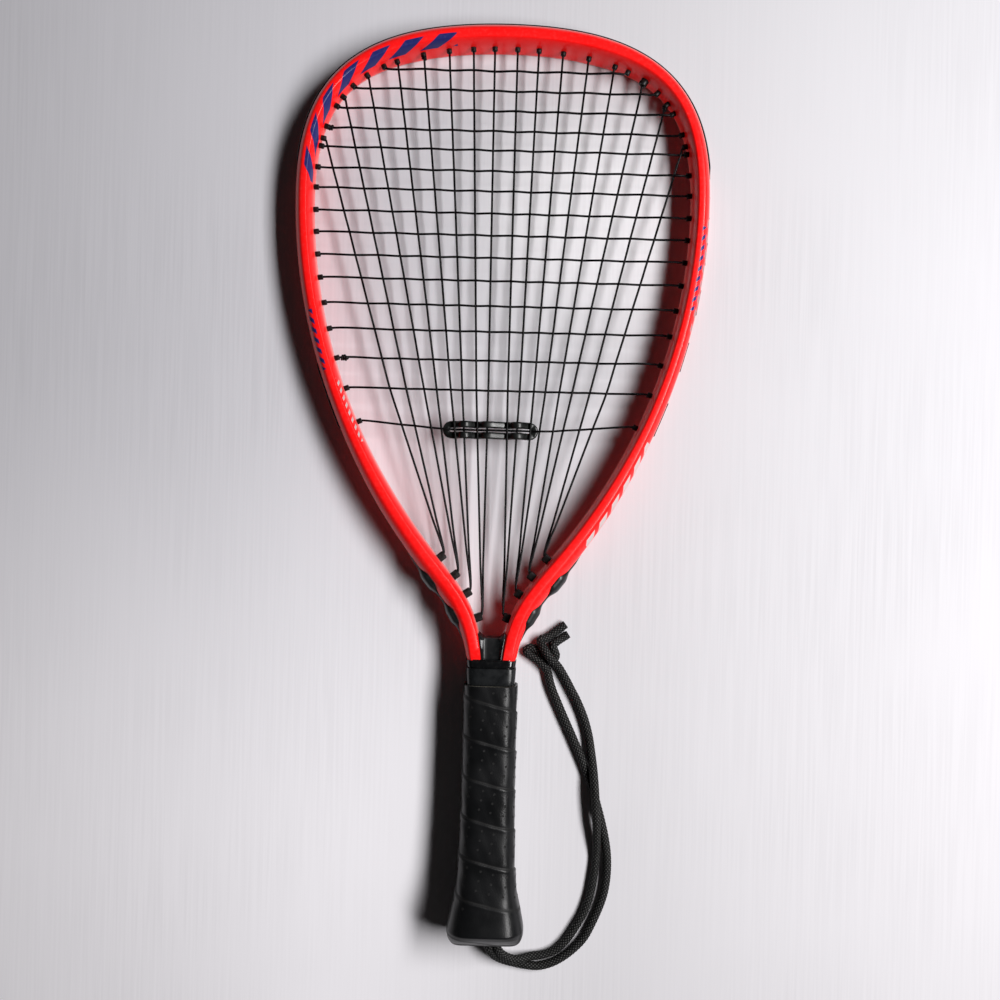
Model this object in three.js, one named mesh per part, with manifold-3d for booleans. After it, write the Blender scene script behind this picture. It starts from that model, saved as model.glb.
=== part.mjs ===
// A racquetball racket that lies face up: a teardrop tube frame with its grommet strips, a woven
// string bed in two strings, a wrapped handle and a wrist cord. Sizes are in millimetres.
// X runs across the racket, Y from the butt to the head, and Z up from the surface it lies on.
import * as THREE from 'three';
import { mergeVertices } from 'three/addons/utils/BufferGeometryUtils.js';
import Module from 'manifold-3d';

const wasm = await Module();
wasm.setup();

// Driving dimensions of the frame. The rail is the middle line of the tube.
const overallLength = 558.8;
const headHalfWidth = 120.8;
const shoulderDrop = 98.7;
const topArm = 96;
const shoulderArm = 62.1;
const flankArm = 73.9;
const throatHalfWidth = 59.7;
const throatHeight = 256.9;
const throatLean = 34.3;
const throatArm = 65;
const neckArm = 59.2;
const neckSink = 7;
const neckReach = 58.4;
const shaftSpread = 8.8;
const shaftEndHeight = 14;
const tubeWidth = 12;
const tubeDepth = 22;
const tubeWall = 1.4;
const cavityBevel = 3;
const cavityBevelShare = 0.33;
const shaftWidth = 8.2;
const shaftDepth = 18;
const taperLength = 55;
const taperEnd = 16;

// Strings, and the strips that carry them through the frame.
const stringDiameter = 1.3;
const stringGap = 0.55;
const stringSides = 4;
const fit = 0.3;
const overrun = 2;
const grooveDepth = 1.8;
const grooveHalfHeight = 3.9;
const stripBase = 1;
const barrelWall = 0.5;
const barrelReach = 1.2;
const bendRoom = 1;
const laneRun = 2.5;
const tieLaneRun = 7;
const laneRunShare = 0.4;
const loopStep = 20;
const stackRunShare = 0.3;
const bumperProud = 1.7;
const bumperHalfHeight = 5.2;
const bumperEdge = 0.8;
const bumperHalfLength = 168;
const stripOverhang = 8;
const stripSpacing = 1;
const throatBarrelSize = 5.2;
const throatBarrelReach = 2.6;
const throatBumperTail = 13;
const throatBumperHump = 2.6;
const throatBumperHumpHalf = 13;
const throatBumperCrestHalf = 4.3;
const throatBumperHalfHeight = 6.4;
const throatBumperRise = 0.5;

// Places of the string holes, as shares of the way from the top of the head to the neck.
const mainShares = [0.2838, 0.2232, 0.18, 0.1371, 0.1026, 0.0702, 0.0401, 0.0139];
const crossShares = [
  0.1552, 0.2031, 0.2381, 0.2679, 0.2939, 0.3208, 0.3461, 0.3737,
  0.4006, 0.4283, 0.4568, 0.4881, 0.5203, 0.5572, 0.5958, 0.6389,
];
const throatShares = [0.8267, 0.8538, 0.8775, 0.9059];
// Where the mains stand at the last but one cross, as shares of the head's half width.
const mainKneeShares = [0.545, 0.462, 0.373, 0.309, 0.238, 0.18, 0.109, 0.049];
const lastCrossDip = 4.2;
const lastCrossFlat = 30;
const rampLength = 6;
const knotRing = 1.75;
const knotThickness = 1.5;
const knotStandoff = 2.4;
const knotSides = 5;
const knotSteps = 8;

// The rubber dampener, a flat ring woven through seven mains round the last cross.
const dampenerLeft = -27.8;
const dampenerRight = 19.6;
const dampenerHalfGap = 3.3;
const dampenerWidth = 4.2;
const dampenerThickness = 2.4;
const dampenerLift = 1.8;
const dampenerEndLift = 2.5;
const dampenerCrest = 1.2;
const dampenerSides = 6;
const dampenerEndSteps = 6;

// Handle: the body under the grip, which flares out at the butt. The flare is given at shares of the length.
const handleLength = 157;
const handleHalfWidth = 14.25;
const handleHalfDepth = 11.7;
const buttFlareWidth = 7.25;
const buttFlareDepth = 6.3;
const handleHeightShares = [0, 0.0127, 0.0382, 0.0764, 0.1401, 0.2038, 0.293, 0.5414, 1];
const flareShares = [0.43, 0.68, 0.91, 1, 0.74, 0.38, 0.17, 0, 0];
const handleBevelShare = 0.385;
const capFloor = 10;
const capSkirt = 46;
const coreStepHalfWidth = 13.9;
const coreStepHalfDepth = 11.4;
const gripStart = 3;
const gripThickness = 1.7;
const gripPitch = 23.5;
const gripStep = 0.5;
const gripRings = 26;
const collarLength = 10.5;
const collarWall = 0.9;
const tapeLength = 4.3;
const tapeWall = 0.5;
const sleeveBevel = 2.4;
const insertReach = 31;
const insertHorn = 3;
const insertFlatHalf = 3.5;
const insertHornHalf = 6.4;
const insertHalfWidth = 9;
const insertHalfDepth = 8;
const stapleWidth = 6;
const stapleLeg = 6;
const stapleWire = 0.8;
const stapleHeight = 38;

// Wrist cord: two strands leave a slot in the butt cap and end in one knot with two tails.
const cordDiameter = 5.4;
const cordSides = 8;
const cordSteps = 24;
const cordSlotOffset = 3.5;
const cordSlotDrop = 8;
const cordSlotDepth = 6;
const cordSlotBevel = 1.8;
const cordTailSteps = 3;
const cordSocketSteps = 6;
const cordSpacing = 5.8;

const colours = {
  paint: 0xff2a24,
  black: 0x17171a,
  string: 0x1b1b1e,
  rubber: 0x141416,
  grip: 0x1d1d20,
  foam: 0x6d6a60,
  steel: 0xb9bcc0,
  cord: 0x101012,
};

function material(color, roughness, metalness = 0) {
  return new THREE.MeshStandardMaterial({ color, roughness, metalness });
}

// Solids and surfaces.

function solidOf(geometry) {
  const bare = geometry.clone();
  bare.deleteAttribute('normal');
  bare.deleteAttribute('uv');
  const merged = mergeVertices(bare);
  return new wasm.Manifold(new wasm.Mesh({
    numProp: 3,
    vertProperties: new Float32Array(merged.attributes.position.array),
    triVerts: new Uint32Array(merged.index.array),
  }));
}

function geometryOf(solid) {
  const mesh = solid.getMesh();
  const geometry = new THREE.BufferGeometry();
  geometry.setAttribute('position', new THREE.BufferAttribute(mesh.vertProperties, 3));
  geometry.setIndex(new THREE.BufferAttribute(mesh.triVerts, 1));
  geometry.computeVertexNormals();
  return geometry;
}

function surface(points, faces) {
  let volume = 0;
  for (const [a, b, c] of faces) {
    volume += points[a].dot(new THREE.Vector3().crossVectors(points[b], points[c]));
  }
  const order = volume < 0 ? faces.map(([a, b, c]) => [c, b, a]) : faces;
  const geometry = new THREE.BufferGeometry().setFromPoints(points);
  geometry.setIndex(order.flat());
  geometry.computeVertexNormals();
  return geometry;
}

function ringFaces(ringCount, count, closed) {
  const faces = [];
  const total = ringCount * count;
  for (let r = 0; r < (closed ? ringCount : ringCount - 1); r++) {
    for (let k = 0; k < count; k++) {
      const a = r * count + k;
      const b = r * count + (k + 1) % count;
      faces.push([a, b, (b + count) % total], [a, (b + count) % total, (a + count) % total]);
    }
  }
  return faces;
}

function capFaces(outline) {
  const flat = outline.map(([u, w]) => new THREE.Vector2(u, w));
  return THREE.ShapeUtils.triangulateShape(flat, []).map(([a, b, c]) => {
    const turn = flat[b].clone().sub(flat[a]).cross(flat[c].clone().sub(flat[a]));
    return turn > 0 ? [a, b, c] : [a, c, b];
  });
}

// A closed skin over rings of points. Each outline is the ring's own flat shape, anticlockwise.
function skin(rings, outlines) {
  const count = rings[0].length;
  const last = (rings.length - 1) * count;
  const faces = ringFaces(rings.length, count, false);
  for (const [a, b, c] of capFaces(outlines[0])) faces.push([c, b, a]);
  for (const [a, b, c] of capFaces(outlines.at(-1))) faces.push([a + last, b + last, c + last]);
  return surface(rings.flat(), faces);
}

// How often a search for a place is refined, and how often one that is halved each time.
const settleSteps = 4;
const halvings = 40;

const smooth = (x, low, high) => THREE.MathUtils.smoothstep(x, low, high);
const mix = THREE.MathUtils.lerp;

function alongTable(x, xs, values) {
  const i = Math.max(1, xs.findIndex((edge) => edge >= x));
  return mix(values[i - 1], values[i], THREE.MathUtils.clamp((x - xs[i - 1]) / (xs[i] - xs[i - 1]), 0, 1));
}

// The rail: three curves from the top of the head to the neck, then the straight shaft.

const railTop = overallLength - bumperProud - tubeWidth / 2;
const widestHeight = railTop - shoulderDrop;
const neckHeight = handleLength - neckSink;

function buildRail() {
  const point = (x, y) => new THREE.Vector2(x, y);
  const lean = THREE.MathUtils.degToRad(throatLean);
  const along = point(Math.sin(lean), Math.cos(lean));
  const throat = point(throatHalfWidth, throatHeight);
  const hoop = [
    new THREE.CubicBezierCurve(
      point(0, railTop),
      point(topArm, railTop),
      point(headHalfWidth, widestHeight + shoulderArm),
      point(headHalfWidth, widestHeight),
    ),
    new THREE.CubicBezierCurve(
      point(headHalfWidth, widestHeight),
      point(headHalfWidth, widestHeight - flankArm),
      throat.clone().addScaledVector(along, throatArm),
      throat,
    ),
    new THREE.CubicBezierCurve(
      throat,
      throat.clone().addScaledVector(along, -neckArm),
      point(shaftSpread, neckHeight + neckReach),
      point(shaftSpread, neckHeight),
    ),
  ];
  const shaft = new THREE.LineCurve(point(shaftSpread, neckHeight), point(shaftSpread, shaftEndHeight));
  const path = new THREE.CurvePath();
  [...hoop, shaft].forEach((curve) => path.add(curve));
  const hoopLength = hoop.reduce((sum, curve) => sum + curve.getLength(), 0);
  return { path, parts: [...hoop, shaft], hoopLength };
}

const rail = buildRail();
const railLength = rail.path.getLength();
const stationCounts = [10, 9, 12, 1];

// A place s is measured along the rail from the top of the head, plus on the right, minus on the left.
function railAt(s) {
  const share = Math.min(Math.abs(s) / railLength, 1);
  const point = rail.path.getPoint(share);
  const tangent = rail.path.getTangent(share);
  const side = s < 0 ? -1 : 1;
  return { x: side * point.x, y: point.y, outX: -side * tangent.y, outY: tangent.x };
}

// A point at the distance u outwards from the rail and w above the string plane.
function place(s, u, w) {
  const at = railAt(s);
  return new THREE.Vector3(at.x + u * at.outX, at.y + u * at.outY, w);
}

function taperAt(s) {
  return smooth(Math.abs(s), rail.hoopLength - taperEnd - taperLength, rail.hoopLength - taperEnd);
}
const halfWidthAt = (s) => mix(tubeWidth, shaftWidth, taperAt(s)) / 2;
const halfDepthAt = (s) => mix(tubeDepth, shaftDepth, taperAt(s)) / 2;

const railStations = [0];
rail.parts.forEach((curve, part) => {
  const start = railStations.at(-1);
  for (let i = 1; i <= stationCounts[part]; i++) {
    railStations.push(start + curve.getLength() * i / stationCounts[part]);
  }
});

// The frame's stations between two places, with both ends.
function stationsBetween(from, to) {
  const both = [...railStations.map((s) => -s).reverse(), ...railStations.slice(1)];
  return [from, ...both.filter((s) => s > from + stripSpacing && s < to - stripSpacing), to];
}

function sweep(stations, outlineAt) {
  const outlines = stations.map(outlineAt);
  return skin(stations.map((s, i) => outlines[i].map(([u, w]) => place(s, u, w))), outlines);
}

// One quarter of the tube's outline, as shares of its half width and half depth.
const tubeOutlineShares = [[1, 0.42], [0.86, 0.78], [0.45, 1]];

function tubeOutline(s, clearance) {
  const width = halfWidthAt(s) + clearance;
  const depth = halfDepthAt(s) + clearance;
  const quarter = tubeOutlineShares.map(([u, w]) => [u * width, w * depth]);
  const half = [...quarter, ...quarter.map(([u, w]) => [-u, w]).reverse()];
  return [...half, ...half.map(([u, w]) => [u, -w]).reverse()];
}

function cavityOutline(s) {
  const inner = -halfWidthAt(s) + tubeWall;
  const outer = halfWidthAt(s) - tubeWall - grooveDepth * (1 - taperAt(s));
  const depth = halfDepthAt(s) - tubeWall;
  const bevel = Math.min(cavityBevel, (outer - inner) * cavityBevelShare);
  return [
    [outer, -depth + bevel], [outer, depth - bevel], [outer - bevel, depth], [inner + bevel, depth],
    [inner, depth - bevel], [inner, -depth + bevel], [inner + bevel, -depth], [outer - bevel, -depth],
  ];
}

// String holes. Each has its place, its kind, and the number of its string from the outside or the top.
const weave = (stringDiameter + stringGap) / 2;
const lane = stringDiameter + stringGap;
const channelHalf = lane + stringDiameter / 2 + fit;
const throatChannelHalf = weave + stringDiameter / 2 + fit;
const mainCount = mainShares.length;
const crossCount = crossShares.length;
const mainPlace = (number, side) => side * mainShares[number] * rail.hoopLength;
const crossPlace = (number, side) => side * crossShares[number] * rail.hoopLength;
const throatPlace = (number, side) => side * throatShares[Math.floor(number / 2)] * rail.hoopLength;

// Holes that a second string comes back through, to be tied off inside the head.
const secondMain = 1;
const fifthMain = 4;
const fourthCross = 3;
const lowTieCross = crossCount - 3;
const tiePlaces = [
  mainPlace(secondMain, 1),
  mainPlace(fifthMain, -1),
  crossPlace(fourthCross, -1),
  crossPlace(lowTieCross, -1),
];
const isTie = (s) => tiePlaces.includes(s);

function holesOf(side) {
  return [
    ...mainShares.map((share, number) => mainPlace(number, side)),
    ...crossShares.map((share, number) => crossPlace(number, side)),
  ];
}

const grooveFloor = (s) => halfWidthAt(s) - grooveDepth;
const baseTop = (s) => grooveFloor(s) + fit + stripBase;
const loopLevel = (s) => baseTop(s) + fit + stringDiameter / 2;

// A square prism that crosses the tube at a hole, given by its half sizes along the rail and in depth.
function prism(s, from, to, halfAlong, halfHeight) {
  const geometry = new THREE.BoxGeometry(2 * halfAlong, to - from, 2 * halfHeight);
  const at = railAt(s);
  const basis = new THREE.Matrix4().makeBasis(
    new THREE.Vector3(at.outY, -at.outX, 0),
    new THREE.Vector3(at.outX, at.outY, 0),
    new THREE.Vector3(0, 0, 1),
  );
  basis.setPosition(place(s, (from + to) / 2, 0));
  geometry.applyMatrix4(basis);
  return solidOf(geometry);
}

const boreHalf = stringDiameter / 2 + fit;
const boreHeight = (s) => boreHalf + (isTie(s) ? weave : 0);

function barrel(s) {
  const from = -halfWidthAt(s) - barrelReach;
  return prism(s, from, baseTop(s) - stripBase / 2, boreHalf + barrelWall, boreHeight(s) + barrelWall);
}

function bore(s) {
  const from = -halfWidthAt(s) - barrelReach - overrun;
  return prism(s, from, baseTop(s) + overrun, boreHalf, boreHeight(s));
}

function throatBarrel(s) {
  const half = throatBarrelSize / 2;
  return prism(s, -halfWidthAt(s) - throatBarrelReach, baseTop(s) - stripBase / 2, half, half);
}

function throatBore(s) {
  const from = -halfWidthAt(s) - throatBarrelReach - overrun;
  return prism(s, from, baseTop(s) + overrun, boreHalf, boreHalf + weave);
}

function frameHole(s) {
  const from = -halfWidthAt(s) - overrun;
  const room = barrelWall + fit;
  return prism(s, from, halfWidthAt(s) + overrun, boreHalf + room, boreHeight(s) + room);
}

function throatFrameHole(s) {
  const half = throatBarrelSize / 2 + fit;
  return prism(s, -halfWidthAt(s) - overrun, halfWidthAt(s) + overrun, half, half);
}

const throatHoles = (side) => throatShares.map((share) => side * share * rail.hoopLength);
const throatBumperEnd = throatHoles(1).at(-1) + throatBumperTail;
const throatBumperStart = throatHoles(1)[0] - throatBumperTail;

function frameGeometry() {
  const shell = solidOf(sweep(stationsBetween(-railLength, railLength), (s) => tubeOutline(s, 0)));
  const cavity = cavitySolid();
  const grooveEnd = throatBumperEnd + fit;
  const groove = solidOf(sweep(stationsBetween(-grooveEnd, grooveEnd), (s) => [
    [grooveFloor(s), -grooveHalfHeight], [halfWidthAt(s) + overrun, -grooveHalfHeight],
    [halfWidthAt(s) + overrun, grooveHalfHeight], [grooveFloor(s), grooveHalfHeight],
  ]));
  const holes = [-1, 1].flatMap((side) => [
    ...holesOf(side).map(frameHole),
    ...throatHoles(side).map(throatFrameHole),
  ]);
  const tube = shell.subtract(cavity).subtract(groove);
  return geometryOf(holes.reduce((body, hole) => body.subtract(hole), tube));
}

// The hollow of the tube runs out of both shaft ends.
function cavitySolid() {
  const stations = stationsBetween(-railLength, railLength);
  const outlines = stations.map(cavityOutline);
  const rings = stations.map((s, i) => outlines[i].map(([u, w]) => {
    const point = place(s, u, w);
    if (Math.abs(s) === railLength) point.y -= overrun;
    return point;
  }));
  return solidOf(skin(rings, outlines));
}

// Strips. Each is a channel swept in the groove, with its barrels added and bored.

function bumperOutline(s, proud, halfHeight, channel) {
  const low = grooveFloor(s) + fit;
  const face = halfWidthAt(s) + fit;
  const top = halfWidthAt(s) + proud;
  const half = [
    [baseTop(s), channel], [top, channel], [top, halfHeight - bumperEdge],
    [face, halfHeight], [face, grooveHalfHeight - fit], [low, grooveHalfHeight - fit],
  ];
  return [...half.map(([u, w]) => [u, -w]).reverse(), ...half];
}

function stripOutline(s) {
  const low = grooveFloor(s) + fit;
  const top = halfWidthAt(s);
  const half = [
    [baseTop(s), channelHalf], [top, channelHalf],
    [top, grooveHalfHeight - fit], [low, grooveHalfHeight - fit],
  ];
  return [...half.map(([u, w]) => [u, -w]).reverse(), ...half];
}

function bored(strip, barrels, bores) {
  const whole = barrels.reduce((body, part) => body.add(part), solidOf(strip));
  return geometryOf(bores.reduce((body, part) => body.subtract(part), whole));
}

function headBumperGeometry() {
  const strip = sweep(stationsBetween(-bumperHalfLength, bumperHalfLength), (s) => (
    bumperOutline(s, bumperProud, bumperHalfHeight, channelHalf)
  ));
  const holes = [-1, 1].flatMap(holesOf).filter((s) => Math.abs(s) < bumperHalfLength);
  return bored(strip, holes.map(barrel), holes.map(bore));
}

function sideStripGeometry(side) {
  const holes = holesOf(side).filter((s) => Math.abs(s) >= bumperHalfLength);
  const start = bumperHalfLength + stripSpacing;
  const end = Math.max(...holes.map(Math.abs)) + stripOverhang;
  const range = side > 0 ? [start, end] : [-end, -start];
  return bored(sweep(stationsBetween(...range), stripOutline), holes.map(barrel), holes.map(bore));
}

// Height of the throat bumper above the tube: a low strip with a hump over each loop of string.
function throatBumperProud(s) {
  const holes = throatHoles(1);
  const middles = [(holes[0] + holes[1]) / 2, (holes[2] + holes[3]) / 2];
  const away = Math.min(...middles.map((middle) => Math.abs(Math.abs(s) - middle)));
  const hump = 1 - smooth(away, throatBumperCrestHalf, throatBumperHumpHalf);
  return throatBumperRise + fit + throatBumperHump * hump;
}

function throatBumperGeometry(side) {
  const range = side > 0 ? [throatBumperStart, throatBumperEnd] : [-throatBumperEnd, -throatBumperStart];
  const strip = sweep(stationsBetween(...range), (s) => (
    bumperOutline(s, throatBumperProud(s), throatBumperHalfHeight, throatChannelHalf)
  ));
  return bored(strip, throatHoles(side).map(throatBarrel), throatHoles(side).map(throatBore));
}

// A string is a tube of few sides along a line of points, mitred at each of them.
function threadGeometry(points, radius, sides) {
  const rings = [];
  let normal = null;
  points.forEach((point, i) => {
    const before = point.clone().sub(points[Math.max(i - 1, 0)]).normalize();
    const after = points[Math.min(i + 1, points.length - 1)].clone().sub(point).normalize();
    if (i === 0) before.copy(after);
    if (i === points.length - 1) after.copy(before);
    const along = before.clone().add(after).normalize();
    const bend = after.clone().sub(before);
    const stretch = 1 / Math.max(along.dot(after), Math.SQRT1_2);
    if (!normal) normal = new THREE.Vector3(0, 0, 1);
    normal.addScaledVector(along, -normal.dot(along)).normalize();
    const across = new THREE.Vector3().crossVectors(along, normal);
    bend.addScaledVector(along, -bend.dot(along));
    if (bend.length() > 0) bend.normalize();
    rings.push(Array.from({ length: sides }, (unused, k) => {
      const angle = 2 * Math.PI * k / sides;
      const spoke = normal.clone().multiplyScalar(Math.cos(angle)).addScaledVector(across, Math.sin(angle));
      spoke.addScaledVector(bend, spoke.dot(bend) * (stretch - 1));
      return point.clone().addScaledVector(spoke, radius);
    }));
  });
  const outline = Array.from({ length: sides }, (unused, k) => (
    [Math.cos(2 * Math.PI * k / sides), Math.sin(2 * Math.PI * k / sides)]
  ));
  return skin(rings, [outline, outline]);
}

// Where a string bends just inside the head, in front of its barrel.
const insidePoint = (s, w) => place(s, -halfWidthAt(s) - barrelReach - bendRoom, w);
const throatPoint = (s, w) => place(s, -halfWidthAt(s) - throatBarrelReach - bendRoom, w);
const kneeCross = crossCount - 2;

const stackSide = (number) => (number % 2 === 0 ? 1 : -1);

function mainHoleHeight(number, side) {
  const s = mainPlace(number, side);
  if (!isTie(s)) return 0;
  return number === fifthMain ? weave : -weave;
}

function mainCorners(number, side) {
  const knee = insidePoint(crossPlace(kneeCross, side), 0);
  knee.x = side * mainKneeShares[number] * headHalfWidth;
  return [
    insidePoint(mainPlace(number, side), mainHoleHeight(number, side)),
    knee,
    throatPoint(throatPlace(number, side), weave * stackSide(number)),
  ];
}

function mainAcross(number, side, y) {
  const [top, knee, foot] = mainCorners(number, side);
  const [a, b] = y > knee.y ? [top, knee] : [knee, foot];
  return mix(b.x, a.x, (y - b.y) / (a.y - b.y));
}

function crossUp(number, x) {
  const end = insidePoint(crossPlace(number, 1), 0);
  if (number < crossCount - 1) return end.y;
  return end.y - lastCrossDip * Math.min(1, (end.x - Math.abs(x)) / (end.x - lastCrossFlat));
}

// The height of a main and a cross where they pass each other. Near a barrel that string stays low.
function crossing(mainNumber, side, crossNumber) {
  let x = mainAcross(mainNumber, side, crossUp(crossNumber, 0));
  for (let i = 0; i < settleSteps; i++) x = mainAcross(mainNumber, side, crossUp(crossNumber, x));
  const y = crossUp(crossNumber, x);
  const top = mainCorners(mainNumber, side)[0];
  const end = insidePoint(crossPlace(crossNumber, 1), 0);
  if (top.y - y < bendRoom / 2 || end.x - Math.abs(x) < bendRoom / 2) return null;
  const order = side < 0 ? mainNumber : 2 * mainCount - 1 - mainNumber;
  const over = (order + crossNumber) % 2 === 0 ? -1 : 1;
  const mainNear = 1 - Math.min(1, (top.y - y) / rampLength);
  const crossNear = 1 - Math.min(1, (end.x - Math.abs(x)) / rampLength);
  const shift = weave * (crossNear - mainNear);
  return {
    main: new THREE.Vector3(x, y, over * (weave + shift)),
    cross: new THREE.Vector3(x, y, over * (-weave + shift)),
  };
}

// One main from its hole at the top, over and under the crosses, to its barrel in the throat.
function mainRun(number, side) {
  const s = mainPlace(number, side);
  const [top, , foot] = mainCorners(number, side);
  const points = [place(s, loopLevel(s), top.z), top];
  crossShares.forEach((share, crossNumber) => {
    const meeting = crossing(number, side, crossNumber);
    if (meeting) points.push(meeting.main);
  });
  const barrelAt = throatPlace(number, side);
  const above = foot.clone().lerp(points.at(-1), stackRunShare).setZ(foot.z);
  return [...points, above, foot, place(barrelAt, loopLevel(barrelAt), foot.z)];
}

// A loop of string outside the frame between two holes, in its own lane of the channel.
function outsideLoop(from, to, height) {
  const way = Math.sign(to - from);
  const span = Math.abs(to - from);
  const [first, last] = [from, to].map((s) => Math.min(isTie(s) ? tieLaneRun : laneRun, laneRunShare * span));
  const middles = Math.max(1, Math.round(span / loopStep));
  const stops = Array.from({ length: middles + 2 }, (unused, i) => (
    mix(from + way * first, to - way * last, i / (middles + 1))
  ));
  return stops.map((s) => place(s, loopLevel(s), height));
}

function tieEnd(s, w) {
  return [place(s, loopLevel(s), w), place(s, -halfWidthAt(s) - barrelReach - fit, w)];
}

const mainOrder = [0, 2, 1, 3, 4, 6, 5, 7];

function mainStringPoints() {
  const runs = [
    ...mainOrder.map((number) => ({ number, side: 1 })),
    ...mainOrder.toReversed().map((number) => ({ number, side: -1 })),
  ];
  const points = [...tieEnd(mainPlace(secondMain, 1), weave).reverse()];
  points.push(...outsideLoop(mainPlace(secondMain, 1), mainPlace(0, 1), lane));
  runs.forEach(({ number, side }, i) => {
    const down = i % 2 === 0;
    const run = mainRun(number, side);
    points.push(...(down ? run : run.reverse()));
    const next = runs[i + 1];
    if (!next) return;
    if (down) {
      const from = throatPlace(number, side);
      const to = throatPlace(next.number, next.side);
      const middle = (from + to) / 2;
      points.push(place(middle, loopLevel(middle), weave * stackSide(number)));
    } else {
      points.push(...outsideLoop(mainPlace(number, side), mainPlace(next.number, next.side), lane));
    }
  });
  points.push(...outsideLoop(mainPlace(0, -1), crossPlace(fourthCross, -1), lane));
  points.push(...tieEnd(crossPlace(fourthCross, -1), weave));
  return points;
}

function crossHoleHeight(number, side) {
  return isTie(crossPlace(number, side)) ? -weave : 0;
}

// Where a cross meets the mains, on both sides of the head.
function meetingsOf(crossNumber) {
  return [-1, 1].flatMap((side) => mainShares.map((share, number) => crossing(number, side, crossNumber)));
}

// One cross from the left to the right.
function crossRun(number) {
  const ends = [-1, 1].map((side) => {
    const s = crossPlace(number, side);
    const height = crossHoleHeight(number, side);
    return [place(s, loopLevel(s), height), insidePoint(s, height)];
  });
  const middle = meetingsOf(number).filter(Boolean).map((meeting) => meeting.cross).sort((a, b) => a.x - b.x);
  return [...ends[0], ...middle, ...ends[1].reverse()];
}

function crossStringPoints() {
  const start = mainPlace(fifthMain, -1);
  const points = [...tieEnd(start, -weave).reverse(), ...outsideLoop(start, crossPlace(0, -1), -lane)];
  for (let number = 0; number < crossCount; number++) {
    const rightward = number % 2 === 0;
    const run = crossRun(number);
    points.push(...(rightward ? run : run.reverse()));
    if (number + 1 < crossCount) {
      const side = rightward ? 1 : -1;
      points.push(...outsideLoop(crossPlace(number, side), crossPlace(number + 1, side), -lane));
    }
  }
  const end = crossPlace(lowTieCross, -1);
  points.push(...outsideLoop(crossPlace(crossCount - 1, -1), end, lane), ...tieEnd(end, weave));
  return points;
}

// The least space between any two stretches of string that aren't near neighbours on one string.
function leastGap(lines) {
  const spans = lines.flatMap((points, line) => points.slice(1).map((to, i) => {
    const from = points[i];
    const room = new THREE.Box3().setFromPoints([from, to]).expandByScalar(stringDiameter);
    return { line, i, from, to, room };
  }));
  const samples = 6;
  const neighbours = 2;
  let least = Infinity;
  spans.forEach((a, first) => {
    for (const b of spans.slice(first + 1)) {
      if (a.line === b.line && b.i - a.i <= neighbours) continue;
      if (!a.room.intersectsBox(b.room)) continue;
      const segment = new THREE.Line3(b.from, b.to);
      for (let k = 0; k <= samples; k++) {
        const point = a.from.clone().lerp(a.to, k / samples);
        const near = segment.closestPointToPoint(point, true, new THREE.Vector3());
        least = Math.min(least, near.distanceTo(point) - stringDiameter);
      }
    }
  });
  return least;
}

// A tie-off knot is a small ring of string round the string that it is tied to, at a hole inside the head.
function knotGeometry(points, s, height) {
  const from = insidePoint(s, height);
  const centre = new THREE.Vector3(0, widestHeight, 0);
  const i = points.findIndex((point) => point.equals(from));
  const [inner] = [points[i - 1], points[i + 1]].sort((a, b) => a.distanceTo(centre) - b.distanceTo(centre));
  const along = inner.clone().sub(from).normalize();
  const thickness = knotThickness / 2;
  const geometry = new THREE.TorusGeometry(knotRing, thickness, knotSides, knotSteps);
  geometry.applyQuaternion(new THREE.Quaternion().setFromUnitVectors(new THREE.Vector3(0, 0, 1), along));
  const place = from.clone().addScaledVector(along, knotStandoff);
  return geometry.translate(place.x, place.y, place.z);
}

// Dampener. Its bars pass above a main that runs under the last cross, and below the others.
function dampenerGeometry() {
  const crossNumber = crossCount - 1;
  const middleY = crossUp(crossNumber, 0);
  const held = meetingsOf(crossNumber)
    .filter(({ main }) => main.x > dampenerLeft && main.x < dampenerRight + dampenerHalfGap)
    .sort((a, b) => a.main.x - b.main.x);
  const bar = held.flatMap(({ main }) => [-dampenerCrest, dampenerCrest].map((off) => ({
    x: Math.min(main.x + off, dampenerRight),
    z: -Math.sign(main.z) * dampenerLift,
  })));
  const path = bar.map(({ x, z }) => new THREE.Vector3(x, middleY - dampenerHalfGap, z));
  const arc = (centre, turn) => Array.from({ length: dampenerEndSteps - 1 }, (unused, i) => {
    const angle = turn + Math.PI * (i + 1) / dampenerEndSteps;
    return new THREE.Vector3(
      centre + dampenerHalfGap * Math.cos(angle),
      middleY + dampenerHalfGap * Math.sin(angle),
      -dampenerEndLift,
    );
  });
  path.push(...arc(dampenerRight, -Math.PI / 2));
  path.push(...bar.toReversed().map(({ x, z }) => new THREE.Vector3(x, middleY + dampenerHalfGap, z)));
  path.push(...arc(dampenerLeft, Math.PI / 2));
  const rings = path.map((point, i) => {
    const before = path[(i + path.length - 1) % path.length];
    const after = path[(i + 1) % path.length];
    const along = after.clone().sub(before).normalize();
    const across = new THREE.Vector3(-along.y, along.x, 0).normalize();
    const up = new THREE.Vector3().crossVectors(along, across);
    return Array.from({ length: dampenerSides }, (unused, k) => {
      const angle = 2 * Math.PI * (k + 1 / 2) / dampenerSides;
      return point.clone()
        .addScaledVector(across, dampenerWidth / 2 * Math.cos(angle))
        .addScaledVector(up, dampenerThickness / 2 * Math.sin(angle));
    });
  });
  return surface(rings.flat(), ringFaces(rings.length, dampenerSides, true));
}

// Handle pieces are lofts along Y with eight-sided outlines.

function octagon(halfWidth, halfDepth, bevel = halfDepth * handleBevelShare) {
  const corner = [[halfWidth, halfDepth - bevel], [halfWidth - bevel, halfDepth]];
  const upper = [...corner, ...corner.map(([x, z]) => [-x, z]).reverse()];
  return [...upper, ...upper.map(([x, z]) => [x, -z]).reverse()];
}

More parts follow.
